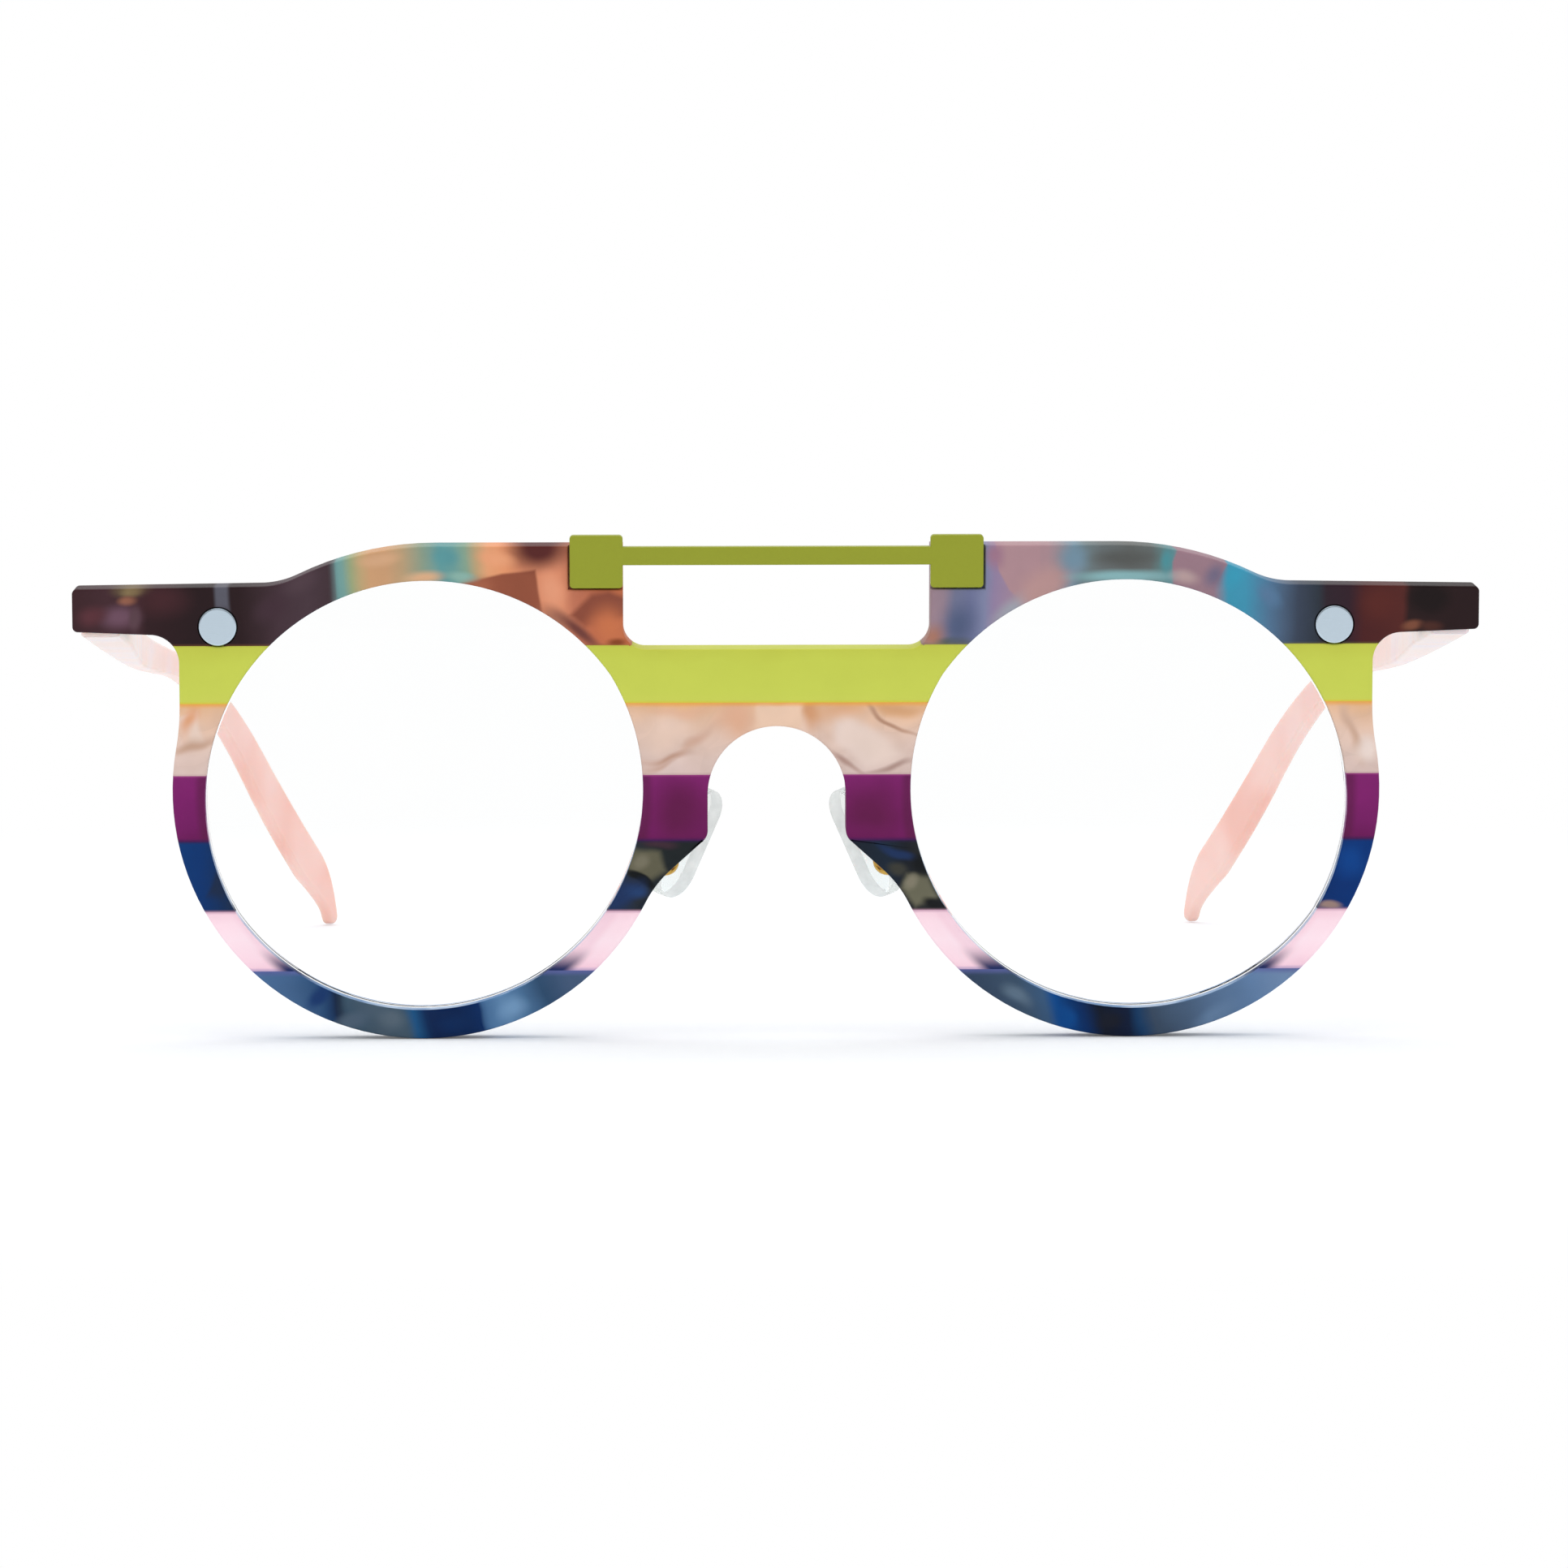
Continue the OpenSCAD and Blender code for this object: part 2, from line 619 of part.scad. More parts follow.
// Front leaf: a plate behind the end piece, stepped to stay hidden, and two knuckles
module front_hinge(side) {
    reach = knuckle_r + leaf_gap + plate_t / 2;
    color("#c8a050") standing() on_side(side) difference() {
        union() {
            upright(front_t, plate_t) polygon([
                [rivet_x - leaf_reach, rivet_h - leaf_reach],
                [rivet_x + leaf_reach, rivet_h - leaf_reach],
                [side_x + end_fillet_r / 2, hinge_low],
                [hinge_x + knuckle_r / 2, hinge_low],
                [hinge_x + knuckle_r / 2, hinge_top],
                [rivet_x - leaf_reach, hinge_top]
            ]);
            knuckle(0, reach, -90);
            knuckle(2, reach, -90);
        }
        hinge_bore();
        hinge_head_seat();
        at_rivet(0) cylinder(r = rivet_r + hold_gap, h = front_t + plate_t + over, $fn = round_fn);
    }
}

module hinge_screw(side) {
    color("silver") standing() on_side(side) translate([hinge_x, hinge_y, hinge_top]) rotate([180, 0, 0])
        screw(hinge_head_r, hinge_head_t, hinge_screw_r, hinge_top - hinge_head_t - hinge_low);
}

// The temple's middle line, seen from the side: straight, ear bend, paddle

butt_y = front_t + butt_gap;
bend_l = ear_bend_r * ear_bend * PI / 180;
paddle_fall = temple_fall + ear_bend;
path_start = [butt_y, hinge_h];
bend_start = path_start + temple_straight * [cos(temple_fall), -sin(temple_fall)];
bend_c = bend_start + ear_bend_r * [-sin(temple_fall), -cos(temple_fall)];
bend_end = bend_c + ear_bend_r * [sin(paddle_fall), cos(paddle_fall)];

// The paddle is as long as it takes to come down to the ground, on which the front leans
function over_ground(p) = p[0] * sin(lean) + p[1] * cos(lean);
paddle_l = (over_ground(bend_end) - tip_rise) / sin(paddle_fall - lean);
path_l = temple_straight + bend_l + paddle_l;

// Fall of the line at a distance s along it
function fall_at(s) =
    s < temple_straight ? temple_fall
    : s < temple_straight + bend_l ? temple_fall + (s - temple_straight) / ear_bend_r * 180 / PI
    : paddle_fall;

// Place of the line at a distance s along it
function path_at(s) =
    s < temple_straight ? path_start + s * [cos(temple_fall), -sin(temple_fall)]
    : s < temple_straight + bend_l ? bend_c + ear_bend_r * [sin(fall_at(s)), cos(fall_at(s))]
    : bend_end + (s - temple_straight - bend_l) * [cos(paddle_fall), -sin(paddle_fall)];

// Height of the temple at a distance s: tapers to the bend, then swells to the paddle
swell_l = bend_l + 0.45 * paddle_l;
function height_at(s) =
    s < 0 ? temple_h0
    : s < temple_straight ? temple_h0 + (temple_h1 - temple_h0) * pow(s / temple_straight, 2)
    : let (u = min(1, (s - temple_straight) / swell_l))
      temple_h1 + (temple_h2 - temple_h1) * (1 - cos(180 * u)) / 2;

// A point beside the line, off to its upper side
function beside(s, off) = path_at(s) + off * [sin(fall_at(s)), cos(fall_at(s))];

// Stations along the temple, closer together past the straight part
body_stations = concat(
    [-over],
    [for (i = [0:8]) temple_straight * i / 8],
    [for (i = [1:14]) temple_straight + bend_l * i / 14],
    [for (i = [1:6]) temple_straight + bend_l + paddle_l * 0.72 * i / 6]
);

// The tip turns down into a small rounded foot that stands on the ground
foot_y = path_at(path_l)[0];
tip_c = [foot_y, (tip_w / 2 - foot_y * sin(lean)) / cos(lean)];
last_s = body_stations[len(body_stations) - 1];
tip_under = beside(last_s, -height_at(last_s) / 2);
tip_over = beside(last_s, height_at(last_s) / 2);

// Points on a curve from a to b that leaves a towards c and arrives at b from c
function blend_pts(a, c, b, n) = [for (i = [1:n - 1]) let (t = i / n)
    a * pow(1 - t, 2) + c * 2 * t * (1 - t) + b * t * t];

side_outline = concat(
    [for (s = body_stations) beside(s, height_at(s) / 2)],
    blend_pts(tip_over, tip_over + [height_at(last_s) * 0.75, -height_at(last_s) * 0.62],
        tip_c + [tip_w / 2, 0], 8),
    arc_pts(tip_c, tip_w / 2, 0, -180),
    blend_pts(tip_c - [tip_w / 2, 0], tip_c + [-tip_w / 2, tip_w * 0.9], tip_under, 6),
    [for (i = [len(body_stations) - 1:-1:0]) beside(body_stations[i], -height_at(body_stations[i]) / 2)]
);

// How far the leaning glasses reach to the front, at the bar's pads, and to the back, at the tips
front_reach = bar_face_y * cos(lean) - clip_top_h * sin(lean);
back_reach = max([for (p = side_outline) p[0] * cos(lean) - p[1] * sin(lean)]);
stand_y = (front_reach + back_reach) / 2;

// The temple's outer and inner faces, seen from above: straight back, then curving inwards
outer_x0 = front_half_w - temple_inset;
curve_y = butt_y + flat_l;
full_y = butt_y + temple_full_l;
function outer_x(y) = y < curve_y ? outer_x0
    : outer_x0 - inward_r + sqrt(inward_r * inward_r - pow(y - curve_y, 2));
function thick_at(y) = y < full_y ? temple_t0
    : y < curve_y ? temple_t0 + (temple_t1 - temple_t0) * (y - full_y) / (curve_y - full_y)
    : temple_t1 + (temple_t2 - temple_t1) * (y - curve_y) / (foot_y - curve_y);
function inner_x(y) = outer_x(y) - thick_at(y);

plan_step = 4;
plan_end = foot_y + temple_h2;
plan_ys = concat([butt_y, full_y, curve_y], [for (y = [curve_y + plan_step:plan_step:plan_end]) y]);

// Places the temple's side drawing upright, across all of its thickness
module side_solid() {
    rotate([90, 0, 90]) linear_extrude(front_half_w + over) children();
}

// Draws the temple's plan through all of its height
module plan_solid() {
    translate([0, 0, -2 * hinge_h]) linear_extrude(4 * hinge_h) children();
}

// The core wire follows the temple's middle line from behind the rivets into the paddle
core_stations = concat(
    [temple_full_l, temple_straight],
    [for (i = [1:14]) temple_straight + bend_l * i / 14],
    [path_l - paddle_l * 0.4]
);

// A strip of the given half height on both sides of the line
function strip(half_h) = concat(
    [for (s = core_stations) beside(s, half_h)],
    [for (i = [len(core_stations) - 1:-1:0]) beside(core_stations[i], -half_h)]
);

// A band of the given half thickness in the middle of the temple, seen from above
function mid_x(y) = outer_x(y) - thick_at(y) / 2;
function band(half_t) = concat(
    [for (y = plan_ys) [mid_x(y) + half_t, y]],
    [for (i = [len(plan_ys) - 1:-1:0]) [mid_x(plan_ys[i]) - half_t, plan_ys[i]]]
);

module core_shape() {
    intersection() {
        side_solid() polygon(strip(core_w / 2));
        plan_solid() polygon(band(core_w / 2));
    }
}

// Where the temple's rivets go, on the line of the temple leaf
leaf_mid_y = hinge_y + temple_leaf_l / 2 + knuckle_r / 2;
function leaf_h_at(y) = hinge_h - (y - butt_y) * tan(temple_fall);
rivet_ys = [leaf_mid_y - temple_rivet_pitch / 2, leaf_mid_y + temple_rivet_pitch / 2];

module temple_rivet_holes(gap) {
    for (y = rivet_ys) {
        translate([temple_in_x - plate_t - over, y, leaf_h_at(y)]) rotate([0, 90, 0])
            cylinder(r = temple_rivet_r + gap, h = temple_t0 + plate_t + 2 * over, $fn = round_fn);
    }
}

module temple(side) {
    color("#f2cdc6", 0.85) standing() on_side(side) difference() {
        intersection() {
            side_solid() polygon(side_outline);
            plan_solid() polygon(concat(
                [for (y = plan_ys) [outer_x(y), y]],
                [for (i = [len(plan_ys) - 1:-1:0]) [inner_x(plan_ys[i]), plan_ys[i]]]
            ));
        }
        core_shape();
        temple_rivet_holes(hold_gap);
    }
}

module core_wire(side) {
    color("silver") standing() on_side(side) core_shape();
}

// Temple leaf: a plate on the temple's inner face and the middle knuckle
module temple_hinge(side) {
    plate_from = hinge_y - knuckle_r;
    plate_to = hinge_y + temple_leaf_l;
    color("#c8a050") standing() on_side(side) difference() {
        union() {
            translate([temple_in_x - plate_t, 0, 0]) rotate([90, 0, 90]) linear_extrude(plate_t) polygon([
                [plate_from, leaf_h_at(plate_from) + temple_leaf_h / 2],
                [plate_to, leaf_h_at(plate_to) + temple_leaf_h / 2],
                [plate_to, leaf_h_at(plate_to) - temple_leaf_h / 2],
                [plate_from, leaf_h_at(plate_from) - temple_leaf_h / 2]
            ]);
            knuckle(1, knuckle_r + leaf_gap + plate_t / 2, 0);
        }
        hinge_bore();
        temple_rivet_holes(hold_gap);
    }
}

// Rivet through the temple and its leaf, headed on both faces: 0 in front, 1 behind
module temple_rivet(side, i) {
    color("#c8d8e4") standing() on_side(side)
        translate([outer_x0 + temple_rivet_head_t, rivet_ys[i], leaf_h_at(rivet_ys[i])]) rotate([0, -90, 0])
        turned(temple_rivet_head_r, temple_rivet_head_t, temple_rivet_r, temple_t0 + plate_t,
            temple_rivet_head_r, temple_rivet_head_t);
}

pad_x = arch_r + pad_out;
pad_y = front_t + pad_back;
pad_h = arch_foot_h - pad_drop;

// A pad's own frame: origin at its pivot, which runs along Y; the pad's face looks to -X
module pad_frame() {
    translate([pad_x, pad_y, pad_h]) rotate([0, -pad_slant, 0]) rotate([0, 0, -pad_splay]) children();
}

pad_face_x = -pad_lug_l - pad_t;
ear_out = pad_lug_t / 2 + ear_gap + ear_t;

// Clear pad: a drop-shaped plate with a lug on its back
module nose_pad(side) {
    low_z = -pad_l / 2 + pad_r_low;
    top_z = pad_l / 2 - pad_r_top;
    color("#f4f6f2", 0.5) standing() on_side(side) pad_frame() difference() {
        union() {
            translate([pad_face_x, 0, 0]) rotate([90, 0, 90]) linear_extrude(pad_t) hull() {
                translate([0, low_z]) circle(pad_r_low, $fn = 32);
                translate([0, top_z]) circle(pad_r_top, $fn = 32);
            }
            translate([-pad_lug_l - pad_t / 2, -pad_lug_t / 2, -pad_lug_r])
                cube([pad_lug_l + pad_t / 2, pad_lug_t, 2 * pad_lug_r]);
            rotate([-90, 0, 0]) translate([0, 0, -pad_lug_t / 2])
                cylinder(r = pad_lug_r, h = pad_lug_t, $fn = round_fn);
        }
        rotate([-90, 0, 0]) translate([0, 0, -pad_lug_t])
            cylinder(r = pad_screw_r + pad_run_gap, h = 2 * pad_lug_t, $fn = round_fn);
    }
}

// Screw through both ears and the lug, headed at both ends
module pad_screw(side) {
    color("#c8a050") standing() on_side(side) pad_frame() rotate([-90, 0, 0])
        translate([0, 0, -ear_out - ear_t])
        turned(pad_screw_head_r, ear_t, pad_screw_r, 2 * ear_out, pad_screw_head_r, ear_t);
}

// A place given in the pad's frame, as seen from the front
function from_pad(v) =
    let (x = v[0] * cos(pad_splay) + v[1] * sin(pad_splay))
    [
        pad_x + x * cos(pad_slant) - v[2] * sin(pad_slant),
        pad_y - v[0] * sin(pad_splay) + v[1] * cos(pad_splay),
        pad_h + x * sin(pad_slant) + v[2] * cos(pad_slant)
    ];

// The arm's wire is one round bow through three places: on the foot, beside the nose, at the box
box_back = pad_lug_r + box_clear;
box_low = pad_lug_r + box_drop;
arm_foot = slope_start + foot_along * slope_dir - foot_in * slope_out;
bow_a = [arm_foot[0], front_t + foot_t + arm_r / 3, arm_foot[1]];
bow_b = [pad_x - bow_in, pad_y - bow_front, pad_h - bow_drop];
bow_c = from_pad([box_back - ear_t / 2, -ear_out + ear_t / 2, -box_low + arm_r * 0.75]);
bow_u = bow_b - bow_a;
bow_v = bow_c - bow_a;
bow_n = cross(bow_u, bow_v);
bow_centre = bow_a
    + (cross(bow_n, bow_u) * (bow_v * bow_v) + cross(bow_v, bow_n) * (bow_u * bow_u)) / (2 * bow_n * bow_n);
bow_r = norm(bow_a - bow_centre);
bow_e1 = (bow_a - bow_centre) / bow_r;
bow_e3 = bow_n / norm(bow_n);
bow_e2 = cross(bow_e3, bow_e1);
bow_end = bow_c - bow_centre;
bow_turn = (atan2(bow_end * bow_e2, bow_end * bow_e1) + 360) % 360;

module arm_bow() {
    multmatrix([
        [bow_e1[0], bow_e2[0], bow_e3[0], bow_centre[0]],
        [bow_e1[1], bow_e2[1], bow_e3[1], bow_centre[1]],
        [bow_e1[2], bow_e2[2], bow_e3[2], bow_centre[2]],
        [0, 0, 0, 1]
    ]) rotate_extrude(angle = bow_turn, $fn = round_fn) translate([bow_r, 0]) circle(arm_r, $fn = 32);
}

// Foot, bow and the box whose two ears hold the pad's lug
module pad_arm(side) {
    color("#c8a050") standing() on_side(side) difference() {
        union() {
            translate([arm_foot[0], front_t, arm_foot[1]]) rotate([0, nasal_slope - 90, 0])
                translate([-foot_w / 2, 0, -foot_l / 2]) cube([foot_w, foot_t, foot_l]);
            arm_bow();
            pad_frame() translate([-pad_lug_r, -ear_out, -box_low])
                cube([pad_lug_r + box_back + ear_t, 2 * ear_out, box_low + pad_lug_r]);
        }
        pad_frame() translate([-pad_lug_r - over, -ear_out + ear_t, -box_low - over])
            cube([pad_lug_r + over + box_back, 2 * (ear_out - ear_t), box_low + pad_lug_r + 2 * over]);
        pad_frame() rotate([-90, 0, 0]) translate([0, 0, -2 * ear_out])
            cylinder(r = pad_screw_r + hold_gap, h = 4 * ear_out, $fn = round_fn);
    }
}

brow(left);  // brow_left
brow(right);  // brow_right
lime_outer(left);  // lime_outer_left
lime_bridge();
lime_outer(right);  // lime_outer_right
marble_outer(left);  // marble_outer_left
marble_bridge();
marble_outer(right);  // marble_outer_right
plum_outer(left);  // plum_outer_left
plum_inner(left);  // plum_inner_left
plum_inner(right);  // plum_inner_right
plum_outer(right);  // plum_outer_right
navy_outer(left);  // navy_outer_left
navy_inner(left);  // navy_inner_left
navy_inner(right);  // navy_inner_right
navy_outer(right);  // navy_outer_right
blush_outer(left);  // blush_outer_left
blush_inner(left);  // blush_inner_left
blush_inner(right);  // blush_inner_right
blush_outer(right);  // blush_outer_right
slate(left);  // slate_left
slate(right);  // slate_right
top_bar();
bar_screw(left);  // bar_screw_left
bar_screw(right);  // bar_screw_right
lens(left);  // lens_left
lens(right);  // lens_right
front_rivet(left);  // front_rivet_left
front_rivet(right);  // front_rivet_right
front_hinge(left);  // front_hinge_left
front_hinge(right);  // front_hinge_right
temple_hinge(left);  // temple_hinge_left
temple_hinge(right);  // temple_hinge_right
hinge_screw(left);  // hinge_screw_left
hinge_screw(right);  // hinge_screw_right
temple(left);  // temple_left
temple(right);  // temple_right
core_wire(left);  // core_wire_left
core_wire(right);  // core_wire_right
temple_rivet(left, 0);  // temple_rivet_fore_left
temple_rivet(left, 1);  // temple_rivet_aft_left
temple_rivet(right, 0);  // temple_rivet_fore_right
temple_rivet(right, 1);  // temple_rivet_aft_right
pad_arm(left);  // pad_arm_left
pad_arm(right);  // pad_arm_right
nose_pad(left);  // nose_pad_left
nose_pad(right);  // nose_pad_right
pad_screw(left);  // pad_screw_left
pad_screw(right);  // pad_screw_right
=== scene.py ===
"""Round eyeglasses: a front glued up from strips of acetate, with a metal bar over the nose."""

import json
import math

import bmesh
import bpy
from mathutils import Matrix, Vector

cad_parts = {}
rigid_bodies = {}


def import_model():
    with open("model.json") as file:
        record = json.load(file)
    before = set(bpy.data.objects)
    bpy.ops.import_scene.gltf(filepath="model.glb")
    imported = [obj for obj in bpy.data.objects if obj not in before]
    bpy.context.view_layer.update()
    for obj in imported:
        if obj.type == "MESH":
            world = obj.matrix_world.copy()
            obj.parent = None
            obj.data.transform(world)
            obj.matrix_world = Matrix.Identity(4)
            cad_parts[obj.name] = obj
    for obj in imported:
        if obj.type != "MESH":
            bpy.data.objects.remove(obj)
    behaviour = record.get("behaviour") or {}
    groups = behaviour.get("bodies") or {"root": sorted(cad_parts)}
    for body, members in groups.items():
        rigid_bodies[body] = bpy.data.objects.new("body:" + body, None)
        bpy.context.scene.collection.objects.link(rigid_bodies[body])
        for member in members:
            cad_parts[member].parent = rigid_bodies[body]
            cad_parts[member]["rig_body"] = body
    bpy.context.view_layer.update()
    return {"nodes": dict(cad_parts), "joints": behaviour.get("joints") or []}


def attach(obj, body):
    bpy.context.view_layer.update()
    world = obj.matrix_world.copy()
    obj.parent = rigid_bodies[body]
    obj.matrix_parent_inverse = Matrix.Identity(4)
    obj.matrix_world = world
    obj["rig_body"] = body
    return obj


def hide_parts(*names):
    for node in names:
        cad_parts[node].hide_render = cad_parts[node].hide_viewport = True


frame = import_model()

MM = 0.001
WHITE = "#ffffff"

# The top of each glued strip, in mm up the front's face. The brow strip lies on the lime one.
SLATE_TOP = 7.2
BLUSH_TOP = 13.5
NAVY_TOP = 20.85
PLUM_TOP = 27.8
MARBLE_TOP = 35.35
LIME_TOP = 41.4
GLUE_HEIGHTS = (SLATE_TOP, BLUSH_TOP, NAVY_TOP, PLUM_TOP, MARBLE_TOP, LIME_TOP)
SHEET_THICK = 4.0

# Each lens opening on the front's face, in mm: its middle out from the nose and up, and its radius.
EYE_X = 36.7
EYE_Z = 25.6
EYE_R = 23.2

# Chips and the tone round a lens run right through a sheet, and are drawn this many mm deep.
THROUGH = 90

# Edges in mm: as tumbling leaves the front, buffing the temples, and the mould the nose pads.
TUMBLED_EDGE = 0.22
BUFFED_EDGE = 0.42
MOULDED_EDGE = 0.3

# The hole and the seat of a screw or rivet in the front lie within this many mm of its middle.
HOLE_REACH = 2.3

# A temple's outline has a point about every 0.35 mm, and its faces follow its curve every 3 mm.
OUTLINE_STEP = 0.35
CURVE_STEP = 3

# Faces that turn by less than FLAT degrees are made one, and over SHARP degrees an edge shows.
FLAT = 0.4
SHARP = 32

# Points nearer to each other than this, in mm, are one point.
WELD = 0.004

# In mm from the middle: where the floor's shadow starts to fade, and where it is plain white.
SHADOW_REACH = 105.0
PLAIN_FLOOR = 260.0

# The photo was taken from left of the nose and a little above, in metres and degrees.
CAMERA_PLACE = (-0.0099, -0.76794, 0.072835)
CAMERA_RIGHT = 0.874
CAMERA_DOWN = 3.778
CAMERA_TIPPED = 0.1


# Where the front stands: it leans as its hinges do, on the lowest point of the slate strip.

fold = next(joint for joint in frame["joints"] if joint["name"] == "temple_fold_right")
lean = math.atan2(-fold["axis"][1], fold["axis"][2])
slate_points = frame["nodes"]["slate_right"].data.vertices
foot = min((point.co for point in slate_points), key=lambda co: co.z)
upright = Matrix.Translation((0, foot.y, 0)) @ Matrix.Rotation(lean, 4, "X")


# Materials

def linear(code):
    """An sRGB hex colour as linear red, green, blue and alpha."""
    parts = [int(code[i : i + 2], 16) / 255 for i in (1, 3, 5)]
    return [c / 12.92 if c <= 0.04045 else ((c + 0.055) / 1.055) ** 2.4 for c in parts] + [1.0]


def add(tree, kind, inputs=None, stops=None, **settings):
    """Adds a shader node. An input is a number, a hex colour or another node's output."""
    made = tree.nodes.new("ShaderNode" + kind)
    for name, value in settings.items():
        setattr(made, name, value)
    for socket, value in (inputs or {}).items():
        if isinstance(value, bpy.types.NodeSocket):
            tree.links.new(value, made.inputs[socket])
        elif isinstance(value, str):
            made.inputs[socket].default_value = linear(value)
        else:
            made.inputs[socket].default_value = value
    if stops:
        # A new colour ramp already has its two end stops, so those are set first.
        elements = made.color_ramp.elements
        for index, (place, code) in enumerate([stops[0], stops[-1]] + stops[1:-1]):
            stop = elements[index] if index < 2 else elements.new(place)
            stop.position = place
            stop.color = linear(code)
    return made


def new_material(name):
    """An empty node material."""
    made = bpy.data.materials.new(name)
    made.use_nodes = True
    made.node_tree.nodes.clear()
    return made, made.node_tree


def millimetres(tree):
    """The piece's own coordinates in millimetres. On the front they are x, depth and height."""
    own = add(tree, "TexCoord").outputs["Object"]
    return add(tree, "VectorMath", {0: own, "Scale": 1000.0}, operation="SCALE").outputs[0]


def wander(tree, point, size, reach):
    """Moves a place by up to reach mm, in drifts about size mm long, as poured acetate runs."""
    drift = add(tree, "TexNoise", {"Vector": point, "Scale": 1 / size, "Detail": 1.0})
    centred = add(
        tree, "VectorMath", {0: drift.outputs["Color"], 1: (-0.5, -0.5, -0.5)}, operation="ADD"
    ).outputs[0]
    # The drift seldom leaves the middle half of its range, so four times that is the reach.
    moved = add(tree, "VectorMath", {0: centred, "Scale": 4 * reach}, operation="SCALE").outputs[0]
    return add(tree, "VectorMath", {0: point, 1: moved}, operation="ADD").outputs[0]


def lay_within(tree, colour, away, full, gone, other, strength=1.0):
    """Lays another colour where a distance is under full, and fades it out until gone."""
    share = add(
        tree,
        "MapRange",
        {"Value": away, "From Min": full, "From Max": gone, "To Min": strength, "To Max": 0.0},
        interpolation_type="SMOOTHSTEP",
    ).outputs[0]
    return add(tree, "Mix", {0: share, 6: colour, 7: other}, data_type="RGBA").outputs[2]


def lay_chips(tree, place, colour, chips):
    """Chips of other colours in the sheet: a soft oval, or a piece with straight cut sides.

    wide and high are from its middle to its edge in mm, and tilt is in degrees.
    """
    for form, x, z, wide, high, tilt, soft, code in chips:
        own = add(
            tree,
            "Mapping",
            {
                "Vector": place,
                "Location": (x, 0, z),
                "Rotation": (0, math.radians(-tilt), 0),
                "Scale": (wide, THROUGH, high),
            },
            vector_type="TEXTURE",
        ).outputs[0]
        if form == "cut":
            sides = add(tree, "VectorMath", {0: own}, operation="ABSOLUTE").outputs[0]
            split = add(tree, "SeparateXYZ", {0: sides})
            away = add(
                tree, "Math", {0: split.outputs[0], 1: split.outputs[2]}, operation="MAXIMUM"
            ).outputs[0]
        else:
            away = add(tree, "VectorMath", {0: own}, operation="LENGTH").outputs[1]
        colour = lay_within(tree, colour, away, 1 - soft, 1 + soft, code)
    return colour


def lay_facets(tree, place, colour, facets):
    """Cut pieces with several straight sides, given by their corners in mm, anticlockwise."""
    for corners, soft, code in facets:
        away = None
        for (x, z), (next_x, next_z) in zip(corners, corners[1:] + corners[:1]):
            side = math.hypot(next_x - x, next_z - z)
            out_x = (next_z - z) / side
            out_z = (x - next_x) / side
            along = add(
                tree, "VectorMath", {0: place, 1: (out_x, 0, out_z)}, operation="DOT_PRODUCT"
            ).outputs[1]
            past = add(
                tree, "Math", {0: along, 1: out_x * x + out_z * z}, operation="SUBTRACT"
            ).outputs[0]
            if away is None:
                away = past
                continue
            away = add(tree, "Math", {0: away, 1: past}, operation="MAXIMUM").outputs[0]
        colour = lay_within(tree, colour, away, -soft, soft, code)
    return colour


def lay_bands(tree, point, colour, bands):
    """Thin level bands where the glue and the next sheet shine into a strip, or bands of painted
    light.
    """
    height = add(tree, "SeparateXYZ", {0: point}).outputs[2]
    for level, spread, strength, code in bands:
        above = add(tree, "Math", {0: height, 1: level}, operation="SUBTRACT").outputs[0]
        away = add(tree, "Math", {0: above}, operation="ABSOLUTE").outputs[0]
        colour = lay_within(tree, colour, away, 0.0, spread, code, strength)
    return colour


def lay_bore_edge(tree, point, colour, width, strength, code):
    """Another tone on the rim round a lens; as a darker ring on a sheet's face it is painted shade.
    """
    sides = add(tree, "VectorMath", {0: point}, operation="ABSOLUTE").outputs[0]
    centred = add(
        tree,
        "Mapping",
        {"Vector": sides, "Location": (EYE_X, 0, EYE_Z), "Scale": (1, THROUGH, 1)},
        vector_type="TEXTURE",
    ).outputs[0]
    away = add(tree, "VectorMath", {0: centred}, operation="LENGTH").outputs[1]
    return lay_within(tree, colour, away, EYE_R, EYE_R + width, code, strength)


def lay_painted_wall_light(tree, point, colour, flat, bright, deep, bands):
    """Painted light on the polished cut round a lens: paler drifts for light from the far side."""
    # The drifts are about 4.5 mm long.
    drifts = add(tree, "TexNoise", {"Vector": point, "Scale": 0.22, "Detail": 2.0})
    share = add(
        tree, "MapRange", {"Value": drifts.outputs["Fac"], "From Min": 0.42, "From Max": 0.6}
    ).outputs[0]
    wall_light = add(tree, "Mix", {0: share, 6: deep, 7: bright}, data_type="RGBA").outputs[2]
    wall_light = lay_bands(tree, point, wall_light, bands)
    painted = lay_bore_edge(tree, point, colour, 0.9, 1.0, wall_light)
    turned = add(
        tree,
        "MapRange",
        {"Value": flat, "From Min": 0.2, "From Max": 0.6, "To Min": 1.0, "To Max": 0.0},
    ).outputs[0]
    return add(tree, "Mix", {0: turned, 6: colour, 7: painted}, data_type="RGBA").outputs[2]


